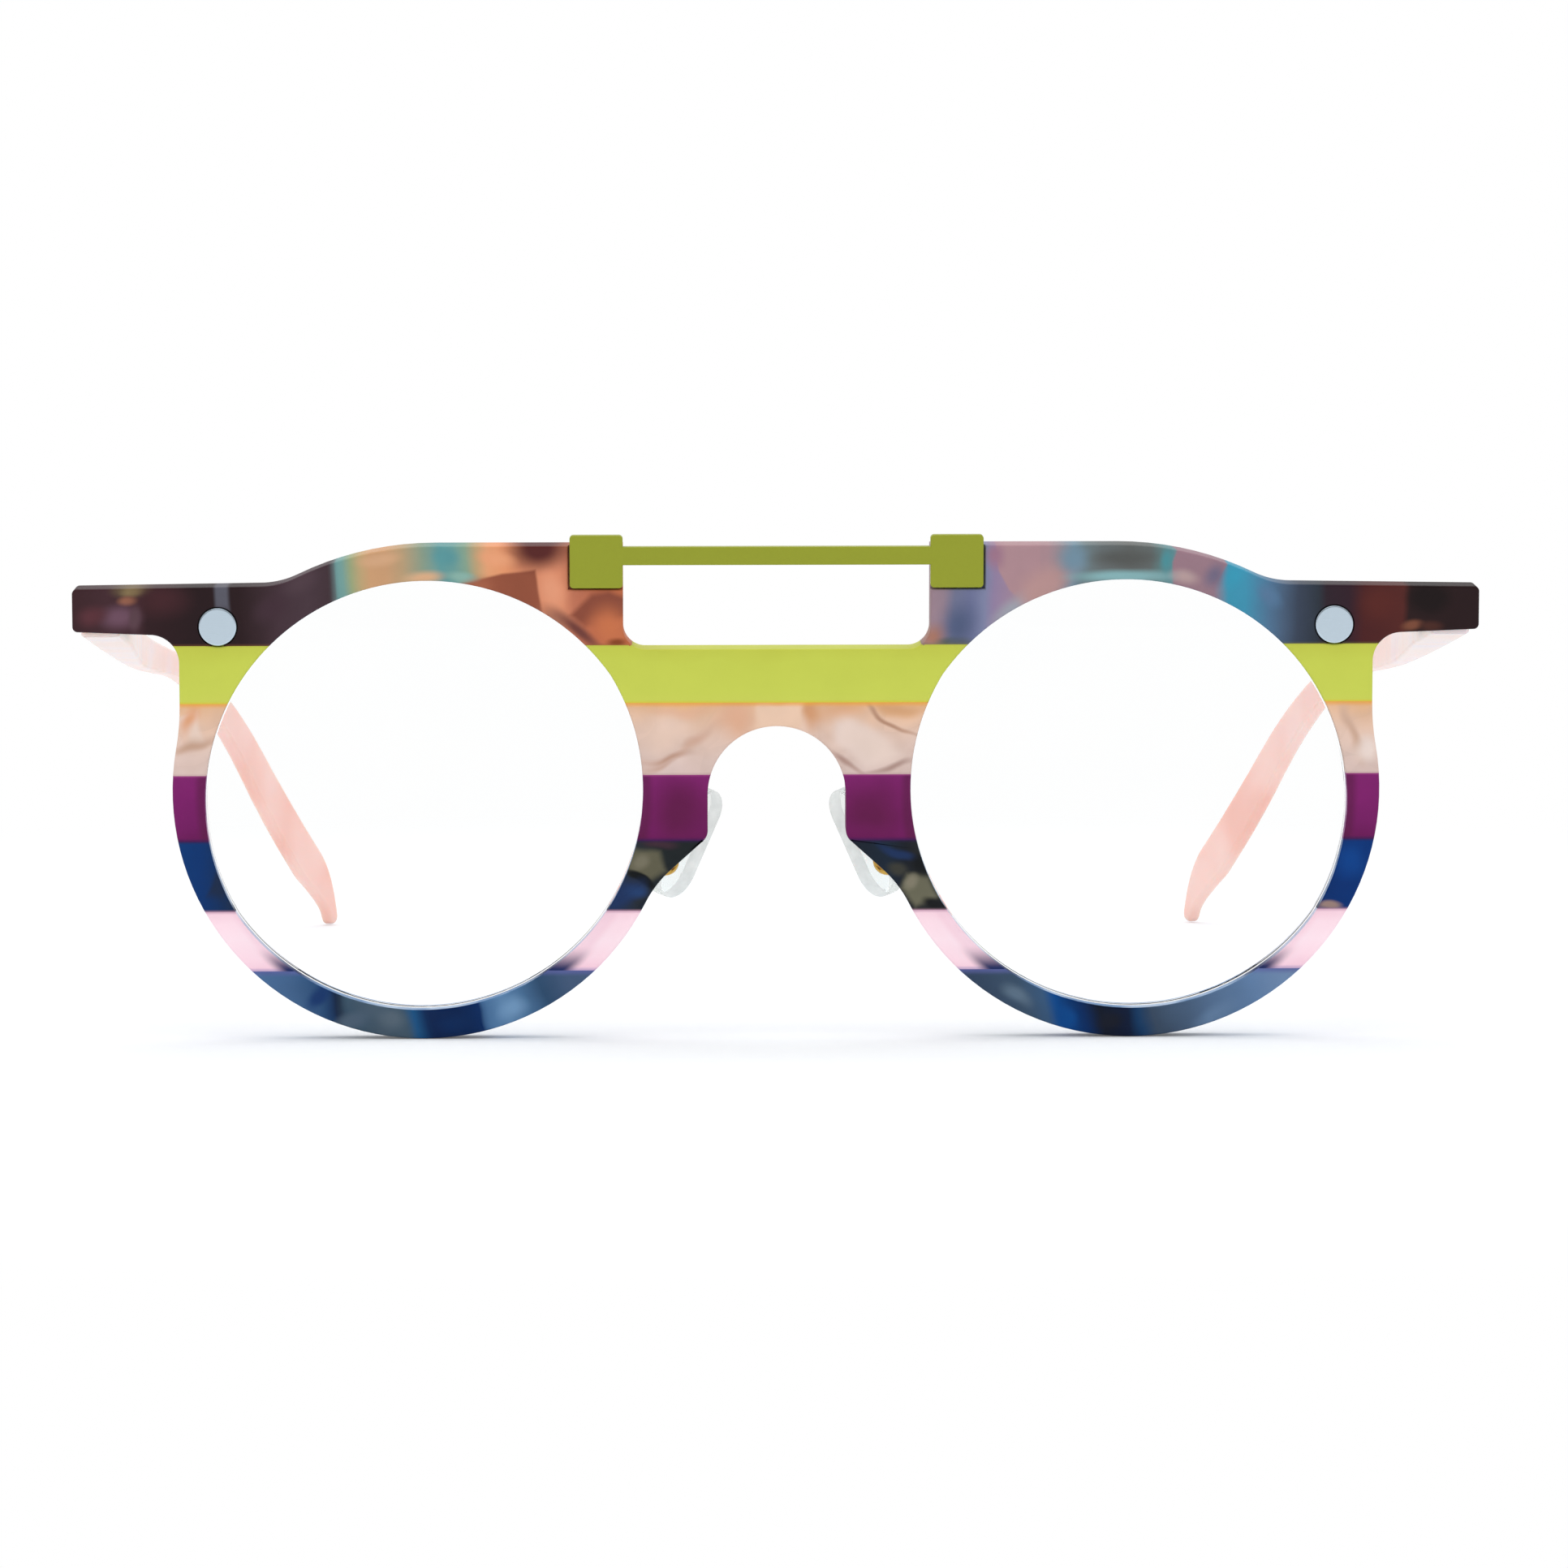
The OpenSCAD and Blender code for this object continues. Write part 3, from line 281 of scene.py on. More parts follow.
def lay_pearl(tree, place, colour, cell, tilt, depth, vein, veins):
    """Pearly flakes about cell mm long, pressed flat and tilted, with thin dark veins between."""
    turned = add(
        tree,
        "Mapping",
        {
            "Vector": place,
            "Rotation": (0, math.radians(-tilt), 0),
            "Scale": (cell, cell, cell * 0.42),
        },
        vector_type="TEXTURE",
    ).outputs[0]
    flakes = add(tree, "TexVoronoi", {"Vector": turned, "Scale": 1.0})
    shade = add(tree, "SeparateColor", {0: flakes.outputs["Color"]}).outputs[0]
    light = add(
        tree, "MapRange", {"Value": shade, "To Min": 1 - depth, "To Max": 1 + depth}
    ).outputs[0]
    toned = add(tree, "VectorMath", {0: colour, "Scale": light}, operation="SCALE").outputs[0]
    gaps = add(
        tree, "TexVoronoi", {"Vector": turned, "Scale": 1.0}, feature="DISTANCE_TO_EDGE"
    ).outputs["Distance"]
    line = add(
        tree,
        "MapRange",
        {"Value": gaps, "From Min": 0.0, "From Max": 0.3, "To Min": veins, "To Max": 0.0},
        interpolation_type="SMOOTHSTEP",
    ).outputs[0]
    # The veins break up in patches of about 2.5 mm.
    broken = add(tree, "TexNoise", {"Vector": place, "Scale": 0.4, "Detail": 2.0})
    amount = add(tree, "Math", {0: line, 1: broken.outputs["Fac"]}, operation="MULTIPLY").outputs[0]
    return add(tree, "Mix", {0: amount, 6: toned, 7: vein}, data_type="RGBA").outputs[2]


def skin(tree, marks, low, high, strength, depth):
    """What fine marks give the eye: a roughness from low to high, and a relief depth mm deep."""
    rough = add(tree, "MapRange", {"Value": marks, "To Min": low, "To Max": high})
    relief = add(tree, "Bump", {"Height": marks, "Strength": strength, "Distance": depth * MM})
    return rough.outputs[0], relief.outputs[0]


def sheet_acetate(name, stops, reach, along="x", slant=0.0, level=0.0, run=6.0, cloud=0.04,
                  chips=(), facets=(), pearl=None, bands=(), bore_shade=None, corner=None, wall_light=None,
                  glow=0.0):
    """Cellulose acetate sheet: poured in coloured layers, then cut, tumbled and polished to satin.

    To the eye that is colour held deep in a smooth surface, soft drifts where two batches met,
    chips of other colours with crisper sides, and a faint sheen that grows at a low angle. In a
    pale sheet the light that comes through from behind is painted, as a glow of its own colour.

    The stops are places in mm along x or z and their colours, on lines that lean by slant. The
    drifts are about run mm long and move them by reach. Facets, chips and pearl lie in the
    sheet, and bands, bore, corner and wall are what shows at its cut edges: bore is a ring of
    painted shade round a lens, and wall painted light on the polished cut round it.
    """
    made, tree = new_material(name)
    point = millimetres(tree)
    place = wander(tree, point, run, reach)
    split = add(tree, "SeparateXYZ", {0: place})
    across = split.outputs[0] if along == "x" else split.outputs[2]
    other = split.outputs[2] if along == "x" else split.outputs[0]
    leaned = add(tree, "Math", {0: other, 1: slant, 2: across}, operation="MULTIPLY_ADD").outputs[0]
    first = stops[0][0]
    last = stops[-1][0]
    where = add(
        tree,
        "MapRange",
        {"Value": leaned, "From Min": first + slant * level, "From Max": last + slant * level},
    ).outputs[0]
    scaled = [((spot - first) / (last - first), code) for spot, code in stops]
    colour = add(tree, "ValToRGB", {0: where}, scaled).outputs[0]
    if pearl:
        colour = lay_pearl(tree, place, colour, *pearl)
    colour = lay_facets(tree, place, colour, facets)
    colour = lay_chips(tree, place, colour, chips)
    # Painted shade: a darker ring on the sheet's face round each lens.
    if bore_shade:
        colour = lay_bore_edge(tree, point, colour, *bore_shade)
    colour = lay_bands(tree, point, colour, bands)
    if corner:
        # The next sheet shines up through the rim's inner corner, in a wedge along the lens.
        height, spread, width, code = corner
        wedge = lay_bore_edge(tree, point, colour, width, 1.0, code)
        colour = lay_bands(tree, point, colour, [(height, spread, 1.0, wedge)])
    turned = add(tree, "TexCoord").outputs["Normal"]
    facing = add(tree, "SeparateXYZ", {0: turned}).outputs[1]
    flat = add(tree, "Math", {0: facing}, operation="ABSOLUTE").outputs[0]
    # Painted light on the polished cut round a lens, on faces turned sideways.
    if wall_light:
        colour = lay_painted_wall_light(tree, point, colour, flat, *wall_light)
    # Clouding in the cast sheet, in drifts of about 4 mm.
    clouds = add(tree, "TexNoise", {"Vector": place, "Scale": 0.25, "Detail": 2.0})
    depth = add(
        tree,
        "MapRange",
        {
            "Value": clouds.outputs["Fac"],
            "From Min": 0.3,
            "From Max": 0.7,
            "To Min": 1 - cloud,
            "To Max": 1 + cloud,
        },
    ).outputs[0]
    clouded = add(tree, "VectorMath", {0: colour, "Scale": depth}, operation="SCALE").outputs[0]
    # Polishing leaves a haze of fine scuffs, really under 0.05 mm and drawn at 0.25 mm to show.
    haze = add(tree, "TexNoise", {"Vector": point, "Scale": 4.0, "Detail": 3.0})
    satin, relief = skin(tree, haze.outputs["Fac"], 0.14, 0.26, 0.03, 0.02)
    # The routed walls are less polished than the faces, so they mirror less and keep their own
    # colour, apart from the painted light round a lens.
    routed = add(
        tree,
        "MapRange",
        {"Value": flat, "From Min": 0.2, "From Max": 0.8, "To Min": 0.3, "To Max": 0.0},
    ).outputs[0]
    rough = add(tree, "Math", {0: satin, 1: routed}, operation="ADD").outputs[0]
    # The glow is painted light: the sheet emits a little of its own colour.
    body = add(
        tree,
        "BsdfPrincipled",
        {
            "IOR": 1.48,
            "Specular IOR Level": 0.1,
            "Emission Strength": glow,
            "Base Color": clouded,
            "Emission Color": clouded,
            "Roughness": rough,
            "Normal": relief,
        },
    )
    add(tree, "OutputMaterial", {0: body.outputs[0]})
    return made


# Warm tortoise: aubergine ends, then teal, tan and coral batches with chestnut chips by the bar.
warm_tortoise = sheet_acetate(
    "warm_tortoise_acetate",
    [
        (-73.0, "#3d2428"), (-69.5, "#452b31"), (-66.2, "#40272d"), (-65.4, "#311d21"),
        (-61.0, "#28191c"), (-55.8, "#2b1b1e"), (-53.6, "#38272c"), (-51.6, "#45323a"),
        (-48.6, "#4a3840"), (-46.3, "#433238"), (-45.8, "#5d6a6c"), (-45.5, "#709d9b"),
        (-44.9, "#77a19a"), (-44.0, "#9ba67d"), (-43.0, "#bfa477"), (-42.0, "#cf9f75"),
        (-40.4, "#cf9f76"), (-38.6, "#b99d78"), (-36.6, "#8a9b86"), (-34.6, "#629a9b"),
        (-33.2, "#6c9d99"), (-32.0, "#86a38d"), (-31.0, "#bca178"), (-29.8, "#e5a074"),
        (-28.0, "#e9996d"), (-26.2, "#d98a66"), (-24.4, "#df8f6c"), (-22.4, "#df8f6c"),
        (-21.2, "#c4765a"), (-18.6, "#b9684a"), (-15.9, "#c46f4a"),
    ],
    slant=0.05,
    level=47.5,
    run=7.0,
    reach=0.22,
    facets=[
        (
            [
                (-33.4, 47.6), (-31.0, 45.0), (-27.0, 43.0),
                (-24.25, 44.8), (-24.95, 49.3), (-28.4, 48.9),
            ],
            0.2,
            "#96533d",
        ),
        (
            [
                (-21.4, 44.4), (-19.9, 43.2), (-17.6, 43.4), (-15.6, 44.6),
                (-15.6, 46.4), (-17.4, 47.0), (-19.3, 46.6),
            ],
            0.42,
            "#8e4d3b",
        ),
    ],
    chips=[
        ("oval", -66.8, 47.5, 1.7, 0.8, 2, 0.7, "#6b5a42"),
        ("oval", -66.9, 47.1, 0.9, 0.4, 0, 0.7, "#85714f"),
        ("oval", -67.3, 46.2, 0.8, 0.45, 0, 0.7, "#94604b"),
        ("oval", -68.0, 44.4, 1.7, 1.1, 0, 0.8, "#6e4e5e"),
        ("oval", -63.8, 46.2, 2.2, 1.5, 0, 0.9, "#46262b"),
        ("oval", -66.4, 44.2, 0.5, 1.2, 0, 0.7, "#5a4149"),
        ("oval", -70.9, 44.6, 1.3, 0.9, 20, 0.8, "#5b3239"),
        ("cut", -57.5, 46.9, 0.7, 1.7, 4, 0.4, "#5c5b66"),
        ("oval", -52.4, 45.3, 1.5, 1.1, 25, 0.8, "#432f38"),
        ("oval", -49.4, 48.0, 1.5, 1.0, 25, 0.8, "#513e46"),
        ("oval", -36.6, 48.5, 1.7, 0.55, 4, 0.8, "#dcae86"),
        ("oval", -41.2, 50.4, 1.7, 0.6, 8, 0.8, "#d9aa83"),
        ("oval", -34.2, 50.6, 1.2, 0.8, 0, 0.7, "#5b979b"),
        ("oval", -32.6, 48.5, 1.3, 0.5, -8, 0.7, "#8cb4a8"),
        ("oval", -31.4, 46.9, 1.7, 1.1, 28, 0.8, "#a9644a"),
        ("oval", -24.6, 51.6, 2.9, 2.0, -2, 0.65, "#5a2927"),
        ("oval", -29.0, 50.4, 1.5, 0.6, -8, 0.8, "#eda379"),
        ("oval", -23.3, 47.0, 0.9, 1.6, 12, 0.8, "#e89c79"),
        ("oval", -22.8, 44.1, 1.6, 0.8, -38, 0.8, "#a86e58"),
        ("oval", -17.9, 42.9, 1.6, 1.1, 0, 0.9, "#b8664a"),
        ("oval", -17.4, 43.2, 1.6, 1.8, 10, 0.9, "#cb744c"),
        ("oval", -20.5, 42.75, 2.3, 0.5, -41, 0.8, "#74413a"),
        ("oval", -16.7, 41.7, 0.9, 0.4, 0, 0.7, "#8a4526"),
    ],
    bands=[(LIME_TOP, 0.3, 0.35, "#8a5a34")],
)

# Cool tortoise: slate, mauve and dusty rose by the bar, sea blue mid way, and a chestnut end.
cool_tortoise = sheet_acetate(
    "cool_tortoise_acetate",
    [
        (15.9, "#a08590"), (17.4, "#9a8491"), (18.6, "#757894"), (20.2, "#71769a"),
        (21.6, "#8186a6"), (22.6, "#9280a0"), (24.4, "#a0859a"), (25.4, "#b08b91"),
        (28.0, "#ab8a90"), (29.2, "#948a92"), (30.6, "#75909f"), (31.8, "#6c7c80"),
        (33.6, "#666d6e"), (36.4, "#616462"), (38.6, "#636968"), (39.8, "#5f7f80"),
        (41.0, "#5f8a90"), (41.6, "#9a7b84"), (45.4, "#957885"), (46.8, "#3f96b2"),
        (48.6, "#4294b2"), (50.0, "#4b83a2"), (51.4, "#517392"), (52.8, "#4b5f78"),
        (54.2, "#3c4658"), (56.4, "#2f3640"), (57.2, "#30232c"), (59.4, "#33202a"),
        (61.2, "#4c2122"), (65.2, "#552724"), (65.9, "#2b1b1c"), (73.0, "#291a1c"),
    ],
    slant=-0.04,
    level=47.5,
    run=7.0,
    reach=0.22,
    facets=[
        (
            [(27.4, 52.4), (22.6, 52.4), (23.05, 49.0), (24.1, 47.1), (25.6, 45.8), (27.4, 45.2)],
            0.16,
            "#b08b91",
        ),
        (
            [(46.2, 51.4), (41.7, 51.8), (41.05, 49.8), (41.2, 47.6), (44.8, 46.4), (46.7, 49.8)],
            0.16,
            "#997984",
        ),
    ],
    chips=[
        ("oval", 16.3, 42.2, 1.2, 0.9, 30, 0.95, "#aa7765"),
        ("oval", 18.4, 41.6, 1.6, 0.5, 0, 0.6, "#5f5f40"),
        ("oval", 19.0, 43.3, 1.5, 2.1, -12, 0.95, "#545f7f"),
        ("oval", 22.7, 50.6, 0.8, 1.1, 8, 0.9, "#a2788d"),
        ("oval", 24.2, 44.9, 0.8, 2.0, -48, 0.9, "#9fa1ac"),
        ("oval", 27.4, 47.0, 1.8, 1.0, 32, 0.8, "#bd948f"),
        ("oval", 28.0, 48.0, 2.4, 1.3, 28, 0.9, "#b9918f"),
        ("oval", 30.8, 50.2, 1.2, 1.2, 0, 0.9, "#7490a2"),
        ("oval", 36.0, 50.3, 2.7, 0.75, 0, 0.8, "#585a58"),
        ("oval", 36.2, 48.4, 4.6, 0.55, 0, 0.7, "#87b2b5"),
        ("oval", 40.4, 50.0, 0.5, 1.0, 0, 0.8, "#4f9098"),
        ("oval", 42.4, 48.3, 1.1, 0.6, -10, 0.9, "#b89c9b"),
        ("oval", 45.4, 48.6, 0.8, 1.1, -24, 0.9, "#746a82"),
        ("oval", 47.4, 48.6, 0.8, 1.2, -24, 0.8, "#3b99b6"),
        ("oval", 51.2, 46.4, 1.2, 0.7, -40, 0.8, "#58799a"),
        ("oval", 62.6, 45.6, 1.7, 1.6, 0, 0.8, "#5a2824"),
        ("oval", 67.7, 46.2, 2.0, 1.5, 0, 0.5, "#1e1516"),
        ("oval", 66.1, 43.3, 1.0, 0.5, 14, 0.6, "#7a4a38"),
        ("oval", 68.0, 43.3, 1.0, 0.5, 0, 0.7, "#4a2a24"),
    ],
    bands=[(LIME_TOP, 0.3, 0.35, "#6f6b3c")],
)

# Opaque lime: one even batch, with painted light: a little yellower where light comes through the
# cut edges.
lime = sheet_acetate(
    "lime_acetate",
    [(MARBLE_TOP, "#ced55a"), (36.6, "#ccd557"), (39.6, "#cad354"), (LIME_TOP, "#c5cb4e")],
    along="z",
    cloud=0.015,
    reach=0.5,
    # The yellow band at the marble joint is painted light.
    bands=[(MARBLE_TOP, 0.3, 0.7, "#dcc43c"), (LIME_TOP, 0.2, 0.4, "#aaa640")],
    # Painted light on the cut round the lenses, in lime tones.
    wall_light=("#c2c84e", "#a4aa3a", ()),
)

# Blush marble: pearl flakes of shell pink and cream, parted by thin veins of warm grey.
marble = sheet_acetate(
    "blush_marble_acetate",
    [
        (PLUM_TOP, "#dcc3bb"), (29.6, "#e2c8bd"), (31.8, "#e9cab9"), (33.8, "#eac2a6"),
        (MARBLE_TOP, "#ebb98c"),
    ],
    along="z",
    run=5.0,
    reach=0.8,
    pearl=(7.0, 32, 0.05, "#c9a896", 0.35),
    facets=[
        ([(3.0, 35.8), (-1.6, 35.8), (-2.6, 33.4), (0.4, 32.2), (2.0, 32.6)], 0.4, "#eecab0"),
        ([(12.6, 29.8), (9.4, 32.8), (5.8, 33.6), (6.0, 31.4), (9.4, 28.8)], 0.8, "#ead3c8"),
        ([(-62.2, 33.8), (-61.2, 30.8), (-59.4, 31.6), (-60.2, 34.6)], 0.3, "#edd2c2"),
    ],
    chips=[
        ("oval", -9.8, 34.6, 2.4, 0.6, 4, 0.9, "#e4b190"),
        ("oval", -11.4, 32.4, 2.6, 1.5, 24, 0.9, "#ebccba"),
        ("oval", -8.2, 31.5, 1.9, 0.5, 40, 0.9, "#d5ad99"),
        ("oval", -11.5, 29.4, 2.4, 0.42, 14, 0.9, "#c39b88"),
        ("oval", -12.6, 28.5, 1.6, 0.35, 20, 0.9, "#cdaa9b"),
        ("oval", -4.4, 33.7, 1.5, 1.5, -30, 0.9, "#e7b394"),
        ("oval", 3.5, 34.0, 0.9, 1.5, 14, 0.8, "#d59b72"),
        ("oval", 6.4, 34.2, 2.0, 0.8, 10, 0.9, "#dfa981"),
        ("oval", 12.4, 34.9, 2.4, 0.6, -4, 0.9, "#d9a57a"),
        ("oval", 11.6, 33.5, 2.9, 0.26, -30, 0.9, "#b88d75"),
        ("oval", 9.4, 31.4, 3.2, 1.2, -30, 0.9, "#ecd4c7"),
        ("oval", 7.4, 29.1, 1.9, 0.24, -35, 0.9, "#b7958a"),
        ("oval", 12.0, 28.6, 2.0, 0.28, 12, 0.9, "#b29389"),
        ("oval", -60.6, 31.2, 2.4, 0.45, 26, 0.9, "#cba58f"),
        ("oval", -60.8, 33.7, 0.6, 1.6, -18, 0.9, "#e3a680"),
        ("oval", 60.0, 32.2, 0.45, 2.6, 14, 0.9, "#d3ae98"),
        ("oval", 61.2, 30.4, 0.9, 1.2, 0, 0.8, "#f0dcd2"),
    ],
    bands=[(MARBLE_TOP, 0.6, 0.8, "#eda63c"), (PLUM_TOP, 0.3, 0.4, "#b58a92")],
    # Painted light on the cut round the lenses, pale cream.
    wall_light=("#ead8ce", "#cdb0a2", ()),
)

# Plum: a clear deep violet, darker where it meets the navy sheet, with painted shade round the lens.
plum = sheet_acetate(
    "plum_acetate",
    [(NAVY_TOP, "#6b1756"), (22.2, "#761c62"), (25.4, "#7e1f69"), (PLUM_TOP, "#80226b")],
    along="z",
    reach=0.8,
    cloud=0.05,
    chips=[
        ("oval", -9.8, 24.0, 3.0, 2.6, 0, 0.8, "#65194c"),
        ("oval", 9.8, 24.0, 3.0, 2.6, 0, 0.8, "#65194c"),
    ],
    bands=[(NAVY_TOP, 0.45, 0.8, "#35184f"), (PLUM_TOP, 0.25, 0.6, "#b0528f")],
    # Painted shade: a darker violet ring round each lens.
    bore_shade=(0.9, 0.6, "#591a40"),
    # Painted light on the cut round the lenses, pale violet.
    wall_light=("#c9a5c6", "#8e4b86", ()),
)

# Navy: ink blue, mixed towards the nose with khaki and black chips.
navy = sheet_acetate(
    "navy_acetate",
    [
        (-63.0, "#083a77"), (-60.0, "#06346f"), (-57.2, "#102c52"), (-20.0, "#1c3863"),
        (-16.6, "#1d3155"), (-14.6, "#262c33"), (-12.2, "#1f2527"), (-8.0, "#1d2225"),
        (8.0, "#19202a"), (11.6, "#1b2838"), (13.4, "#1a1e26"), (15.4, "#2a2c2c"),
        (17.4, "#212325"), (20.0, "#1c1e21"), (57.0, "#022c69"), (63.0, "#013478"),
    ],
    run=4.0,
    reach=0.3,
    cloud=0.05,
    facets=[
        (
            [(-12.2, 19.6), (-15.6, 20.0), (-16.0, 18.2), (-13.4, 16.4), (-11.6, 17.6)],
            0.45,
            "#625f4c",
        ),
        ([(17.0, 15.0), (15.6, 17.0), (13.4, 17.1), (13.0, 15.6), (14.6, 13.8)], 0.45, "#6c6a57"),
    ],
    chips=[
        ("oval", -14.2, 18.6, 0.9, 0.7, 20, 0.6, "#787360"),
        ("oval", -12.2, 20.5, 1.5, 0.45, 0, 0.7, "#3f2a35"),
        ("oval", -14.2, 16.9, 1.9, 0.42, -36, 0.35, "#0f1316"),
        ("oval", -16.0, 15.4, 1.9, 0.9, 24, 0.7, "#1e345f"),
        ("oval", -14.6, 15.5, 0.9, 0.6, 0, 0.9, "#24406f"),
        ("oval", -13.4, 14.2, 1.2, 0.6, 30, 0.6, "#1a2330"),
        ("oval", 12.6, 19.5, 1.9, 0.5, -24, 0.6, "#1d325a"),
        ("oval", 12.4, 17.8, 1.0, 0.6, -30, 0.6, "#3d3d37"),
        ("oval", 14.8, 18.2, 0.9, 1.0, 30, 0.6, "#131619"),
        ("oval", 16.4, 14.2, 1.0, 0.5, -20, 0.6, "#17181a"),
        ("oval", 13.9, 16.3, 0.5, 0.7, -30, 0.7, "#857f6c"),
        ("cut", -57.7, 17.0, 0.8, 2.2, -22, 0.4, "#1a2b49"),
        ("oval", -55.9, 14.6, 1.4, 0.7, 20, 0.6, "#22314c"),
        ("oval", 57.8, 13.8, 1.1, 0.4, 0, 0.6, "#9a8078"),
        ("oval", 59.8, 18.6, 1.3, 1.5, 0, 0.8, "#06418a"),
    ],
    bands=[(NAVY_TOP, 0.3, 0.5, "#351a4c"), (BLUSH_TOP, 0.25, 0.5, "#b98da0")],
    # Painted light on the cut round the lenses, pale blue, with a dark band at the blush joint.
    wall_light=("#b4c3da", "#7f93b4", [(BLUSH_TOP, 1.2, 0.9, "#1a2440")]),
)

# Blush: a pale pink with a painted glow, greyer mauve where the darker sheets shine through its
# ends.
blush = sheet_acetate(
    "blush_acetate",
    [
        (SLATE_TOP, "#f8cfde"), (8.4, "#ffdce7"), (10.4, "#ffe3ec"), (12.3, "#ffdee8"),
        (BLUSH_TOP, "#f6d0dd"),
    ],
    along="z",
    cloud=0.012,
    reach=0.4,
    bands=[(SLATE_TOP, 0.45, 0.8, "#b49ac2"), (BLUSH_TOP, 0.35, 0.8, "#c698b0")],
    # Painted shade: a darker pink ring round each lens.
    bore_shade=(0.8, 0.5, "#f0c9d8"),
    corner=(SLATE_TOP, 2.7, 1.15, "#1e2c5c"),
    # Painted light on the cut round the lenses, pale blue-grey, with a dark band at the slate joint.
    wall_light=("#dcdbec", "#b9c0d8", [(SLATE_TOP, 2.4, 1.0, "#1c2c5c")]),
    # Painted glow: a faint emission of the pink, for light coming through from behind.
    glow=0.07,
)

# Slate: storm blue drifts between near black and azure, as smoke in water.
slate = sheet_acetate(
    "slate_acetate",
    [
        (-58.0, "#5074a2"), (-53.0, "#4c6f9b"), (-50.0, "#44668f"), (-47.6, "#30527b"),
        (-46.4, "#1c3c66"), (-45.6, "#101f38"), (-44.6, "#3c5468"), (-42.0, "#4a5c6c"),
        (-39.2, "#425768"), (-38.2, "#1b5484"), (-36.6, "#072450"), (-33.6, "#02224f"),
        (-31.2, "#022a5e"), (-30.7, "#456c97"), (-28.4, "#6088b0"), (-26.0, "#4d749c"),
        (-24.0, "#2f4d6e"), (-21.0, "#435877"), (-14.0, "#4b6182"), (14.0, "#303f5a"),
        (21.5, "#34465f"), (26.0, "#3c5168"), (28.2, "#3a5a7e"), (29.2, "#02498e"),
        (31.6, "#012c62"), (33.4, "#0c1526"), (36.2, "#0a1936"), (37.4, "#123c66"),
        (39.0, "#3b4c62"), (43.0, "#4a607c"), (50.5, "#6281a8"), (58.0, "#8198bb"),
    ],
    slant=0.3,
    level=3.0,
    run=5.0,
    reach=0.4,
    cloud=0.06,
    chips=[
        ("oval", -44.3, 1.9, 1.6, 0.8, 30, 0.7, "#4e6073"),
        ("oval", -47.9, 4.4, 0.8, 1.4, -30, 0.6, "#17386c"),
        ("oval", -33.4, 1.6, 1.6, 0.9, 8, 0.8, "#04295a"),
        ("oval", -40.4, 2.0, 1.2, 0.9, 0, 0.7, "#566674"),
        ("oval", -27.6, 3.2, 1.3, 0.8, 34, 0.8, "#7299bf"),
        ("oval", 30.2, 2.2, 0.8, 1.3, 24, 0.6, "#05498e"),
        ("oval", 25.0, 4.6, 1.4, 0.7, -34, 0.7, "#5b7084"),
        ("oval", 34.6, 1.6, 1.1, 0.8, 0, 0.7, "#141928"),
        ("oval", 45.8, 2.4, 1.7, 0.7, 28, 0.8, "#617d9e"),
    ],
    bands=[(SLATE_TOP, 0.7, 0.8, "#5d64a0")],
    # Painted light on the cut round the lenses, pale blue, with a dark band at its top.
    wall_light=("#b3c8e2", "#6f93bf", [(SLATE_TOP, 1.8, 1.0, "#1c2c5c")]),
)


def milky_acetate():
    """Temple acetate: extruded pale pink over a steel core, then bevelled and buffed.

    It is cloudy rather than clear, so the core shows only as a faint line and edges look lit.
    """
    made, tree = new_material("milky_pink_acetate")
    point = millimetres(tree)
    place = wander(tree, point, 9.0, 1.6)
    clouds = add(tree, "TexNoise", {"Vector": place, "Scale": 0.1, "Detail": 1.0})
    pink = add(
        tree,
        "ValToRGB",
        {0: clouds.outputs["Fac"]},
        [(0.3, "#f2bfb2"), (0.5, "#f7cabf"), (0.7, "#fbd4cb")],
    ).outputs[0]
    # Near the hinges the sheet is paler, with lilac and peach drifts about 7 mm long.
    drifts = add(tree, "TexNoise", {"Vector": place, "Scale": 0.14, "Detail": 1.0})
    pale = add(
        tree,
        "ValToRGB",
        {0: drifts.outputs["Fac"]},
        [(0.36, "#ecdee1"), (0.48, "#f2dfda"), (0.62, "#f4dbd1")],
    ).outputs[0]
    back = add(tree, "SeparateXYZ", {0: point}).outputs[1]
    colour = lay_within(tree, pink, back, -40.0, 70.0, pale, 0.95)
    # The same fine scuffs as on the front, a little rougher.
    haze = add(tree, "TexNoise", {"Vector": point, "Scale": 4.0, "Detail": 3.0})
    satin, relief = skin(tree, haze.outputs["Fac"], 0.18, 0.3, 0.03, 0.02)
    body = add(
        tree,
        "BsdfPrincipled",
        {
            "IOR": 1.48,
            "Specular IOR Level": 0.12,
            "Subsurface Weight": 0.6,
            "Subsurface Radius": (1.0, 0.55, 0.42),
            "Subsurface Scale": 1.6 * MM,
            "Base Color": colour,
            "Roughness": satin,
            "Normal": relief,
        },
    )
    add(tree, "OutputMaterial", {0: body.outputs[0]})
    return made


